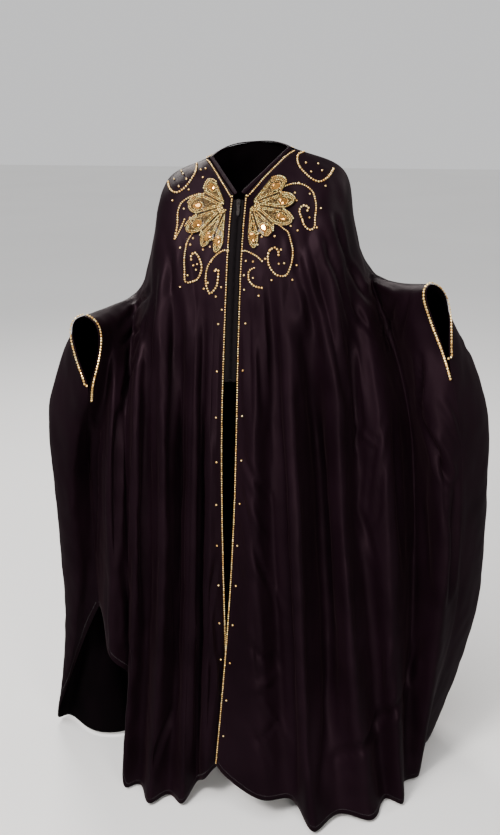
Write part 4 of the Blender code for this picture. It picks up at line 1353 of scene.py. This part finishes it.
class ABAYA_OT_stitching(bpy.types.Operator):
    """Sew the hems and the seams' topstitching"""

    bl_idname = "abaya.stitching"
    bl_label = "Stitching"

    def execute(self, context):
        stitch = stitch_shape()
        sewn = Sewn()
        for panel, start, end, inset in (
                ("front_right", FRONT_HEM_RIGHT, HEM_START_RIGHT, HEM_INSET),
                ("front_left", FRONT_HEM_LEFT, HEM_START_LEFT, HEM_INSET),
                ("back", HEM_START_LEFT, HEM_START_RIGHT, HEM_INSET),
                ("front_right", SHOULDER_RIGHT, WRIST_RIGHT, SEAM_INSET),
                ("front_left", SHOULDER_LEFT, WRIST_LEFT, SEAM_INSET),
                ("back", SHOULDER_RIGHT, WRIST_RIGHT, SEAM_INSET),
                ("back", SHOULDER_LEFT, WRIST_LEFT, SEAM_INSET)):
            path, normals = Cloth.all[panel].beside_edge(start, end, inset)
            way = tangents(path)
            for k in range(2, len(path) - 2, NEXT_STITCH):
                sewn.add(stitch, path[k], way[k], normals[k], STITCH, 0.03)
        sewn.make("topstitching", thread_look())
        return {"FINISHED"}


class ABAYA_OT_stage(bpy.types.Operator):
    """Set out the pale floor, the soft light and the camera"""

    bl_idname = "abaya.stage"
    bl_label = "Floor, light and camera"

    def execute(self, context):
        bpy.ops.object.select_all(action="DESELECT")
        bpy.ops.mesh.primitive_plane_add(size=40, location=(0, 0, FLOOR))
        floor = context.object
        floor.name = "floor"
        floor.visible_glossy = False  # the cloth's edges would mirror it
        pale = Look("Pale floor", Roughness=0.9)
        pale.shade(Base_Color=pale.ramp(pale.noise(0.6), (0.3, (0.78, 0.775, 0.77)),
                                        (0.7, (0.81, 0.805, 0.80))))
        floor.data.materials.append(pale.material)
        self.world(context)
        for name, place, size, power in LAMPS:
            lamp = bpy.data.lights.new(name, "AREA")
            lamp.shape = "DISK"
            lamp.size = size
            lamp.energy = power
            lamp.color = (1.0, 0.96, 0.92)
            light = new_object(name, lamp)
            light.location = place
            aim = Vector((0, 0, -0.70)) - Vector(place)
            light.rotation_euler = aim.to_track_quat("-Z", "Y").to_euler()
        lamp = bpy.data.lights.new("daylight", "SUN")
        lamp.energy = 2.6
        lamp.angle = math.radians(40)
        new_object("daylight", lamp).rotation_euler = (math.radians(30), 0, math.radians(-28))
        self.camera(context)
        return {"FINISHED"}

    def world(self, context):
        """A soft grey sky that looks brighter to the camera than it lights."""
        world = bpy.data.worlds.new("Studio")
        world.use_nodes = True
        tree = world.node_tree
        sky = tree.nodes["Background"]
        sky.inputs["Color"].default_value = (0.95, 0.95, 0.96, 1)
        seen = tree.nodes.new("ShaderNodeLightPath")
        bright = tree.nodes.new("ShaderNodeMapRange")
        bright.inputs["To Min"].default_value = 0.20
        bright.inputs["To Max"].default_value = 0.86
        tree.links.new(seen.outputs["Is Camera Ray"], bright.inputs["Value"])
        tree.links.new(bright.outputs["Result"], sky.inputs["Strength"])
        context.scene.world = world

    def camera(self, context):
        """A camera at chest height, turned a little round the wearer and tilted down."""
        camera = bpy.data.cameras.new("camera")
        camera.lens = FOCAL_LENGTH / IMAGE_HEIGHT * SENSOR
        camera.sensor_fit = "VERTICAL"
        camera.sensor_height = SENSOR
        camera.sensor_width = SENSOR * IMAGE_WIDTH / IMAGE_HEIGHT
        eye = new_object("camera", camera)
        turn = math.radians(8)
        x, y = 0.012, -2.1
        eye.location = (x * math.cos(turn) - y * math.sin(turn) - 0.012,
                        x * math.sin(turn) + y * math.cos(turn), 0.12)
        eye.rotation_euler = (math.pi / 2 - math.radians(18.1), 0, turn)
        context.scene.camera = eye


class ABAYA_PT_panel(bpy.types.Panel):
    """Lists the abaya's pieces, sizes and colours"""

    bl_idname = "ABAYA_PT_panel"
    bl_label = "Abaya"
    bl_space_type = "VIEW_3D"
    bl_region_type = "UI"
    bl_category = "Abaya"

    def draw(self, context):
        for operator in PIECES:
            self.layout.operator(operator.bl_idname)
        for group in (context.scene.abaya_sizes, context.scene.abaya_colours):
            for name in group.bl_rna.properties.keys():
                if name not in ("rna_type", "name"):
                    self.layout.prop(group, name)


PIECES = (ABAYA_OT_back, ABAYA_OT_fronts, ABAYA_OT_binding, ABAYA_OT_zip, ABAYA_OT_motifs,
          ABAYA_OT_bead_lines, ABAYA_OT_scrolls, ABAYA_OT_cuffs, ABAYA_OT_stitching,
          ABAYA_OT_stage)
CLASSES = (AbayaSizes, AbayaColours, *PIECES, ABAYA_PT_panel)


def register():
    for each in CLASSES:
        bpy.utils.register_class(each)
    bpy.types.Scene.abaya_sizes = PointerProperty(type=AbayaSizes)
    bpy.types.Scene.abaya_colours = PointerProperty(type=AbayaColours)


def unregister():
    del bpy.types.Scene.abaya_colours
    del bpy.types.Scene.abaya_sizes
    for each in reversed(CLASSES):
        bpy.utils.unregister_class(each)


def main():
    register()
    for operator in PIECES:
        group, name = operator.bl_idname.split(".")
        getattr(getattr(bpy.ops, group), name)()


if __name__ == "__main__":
    main()
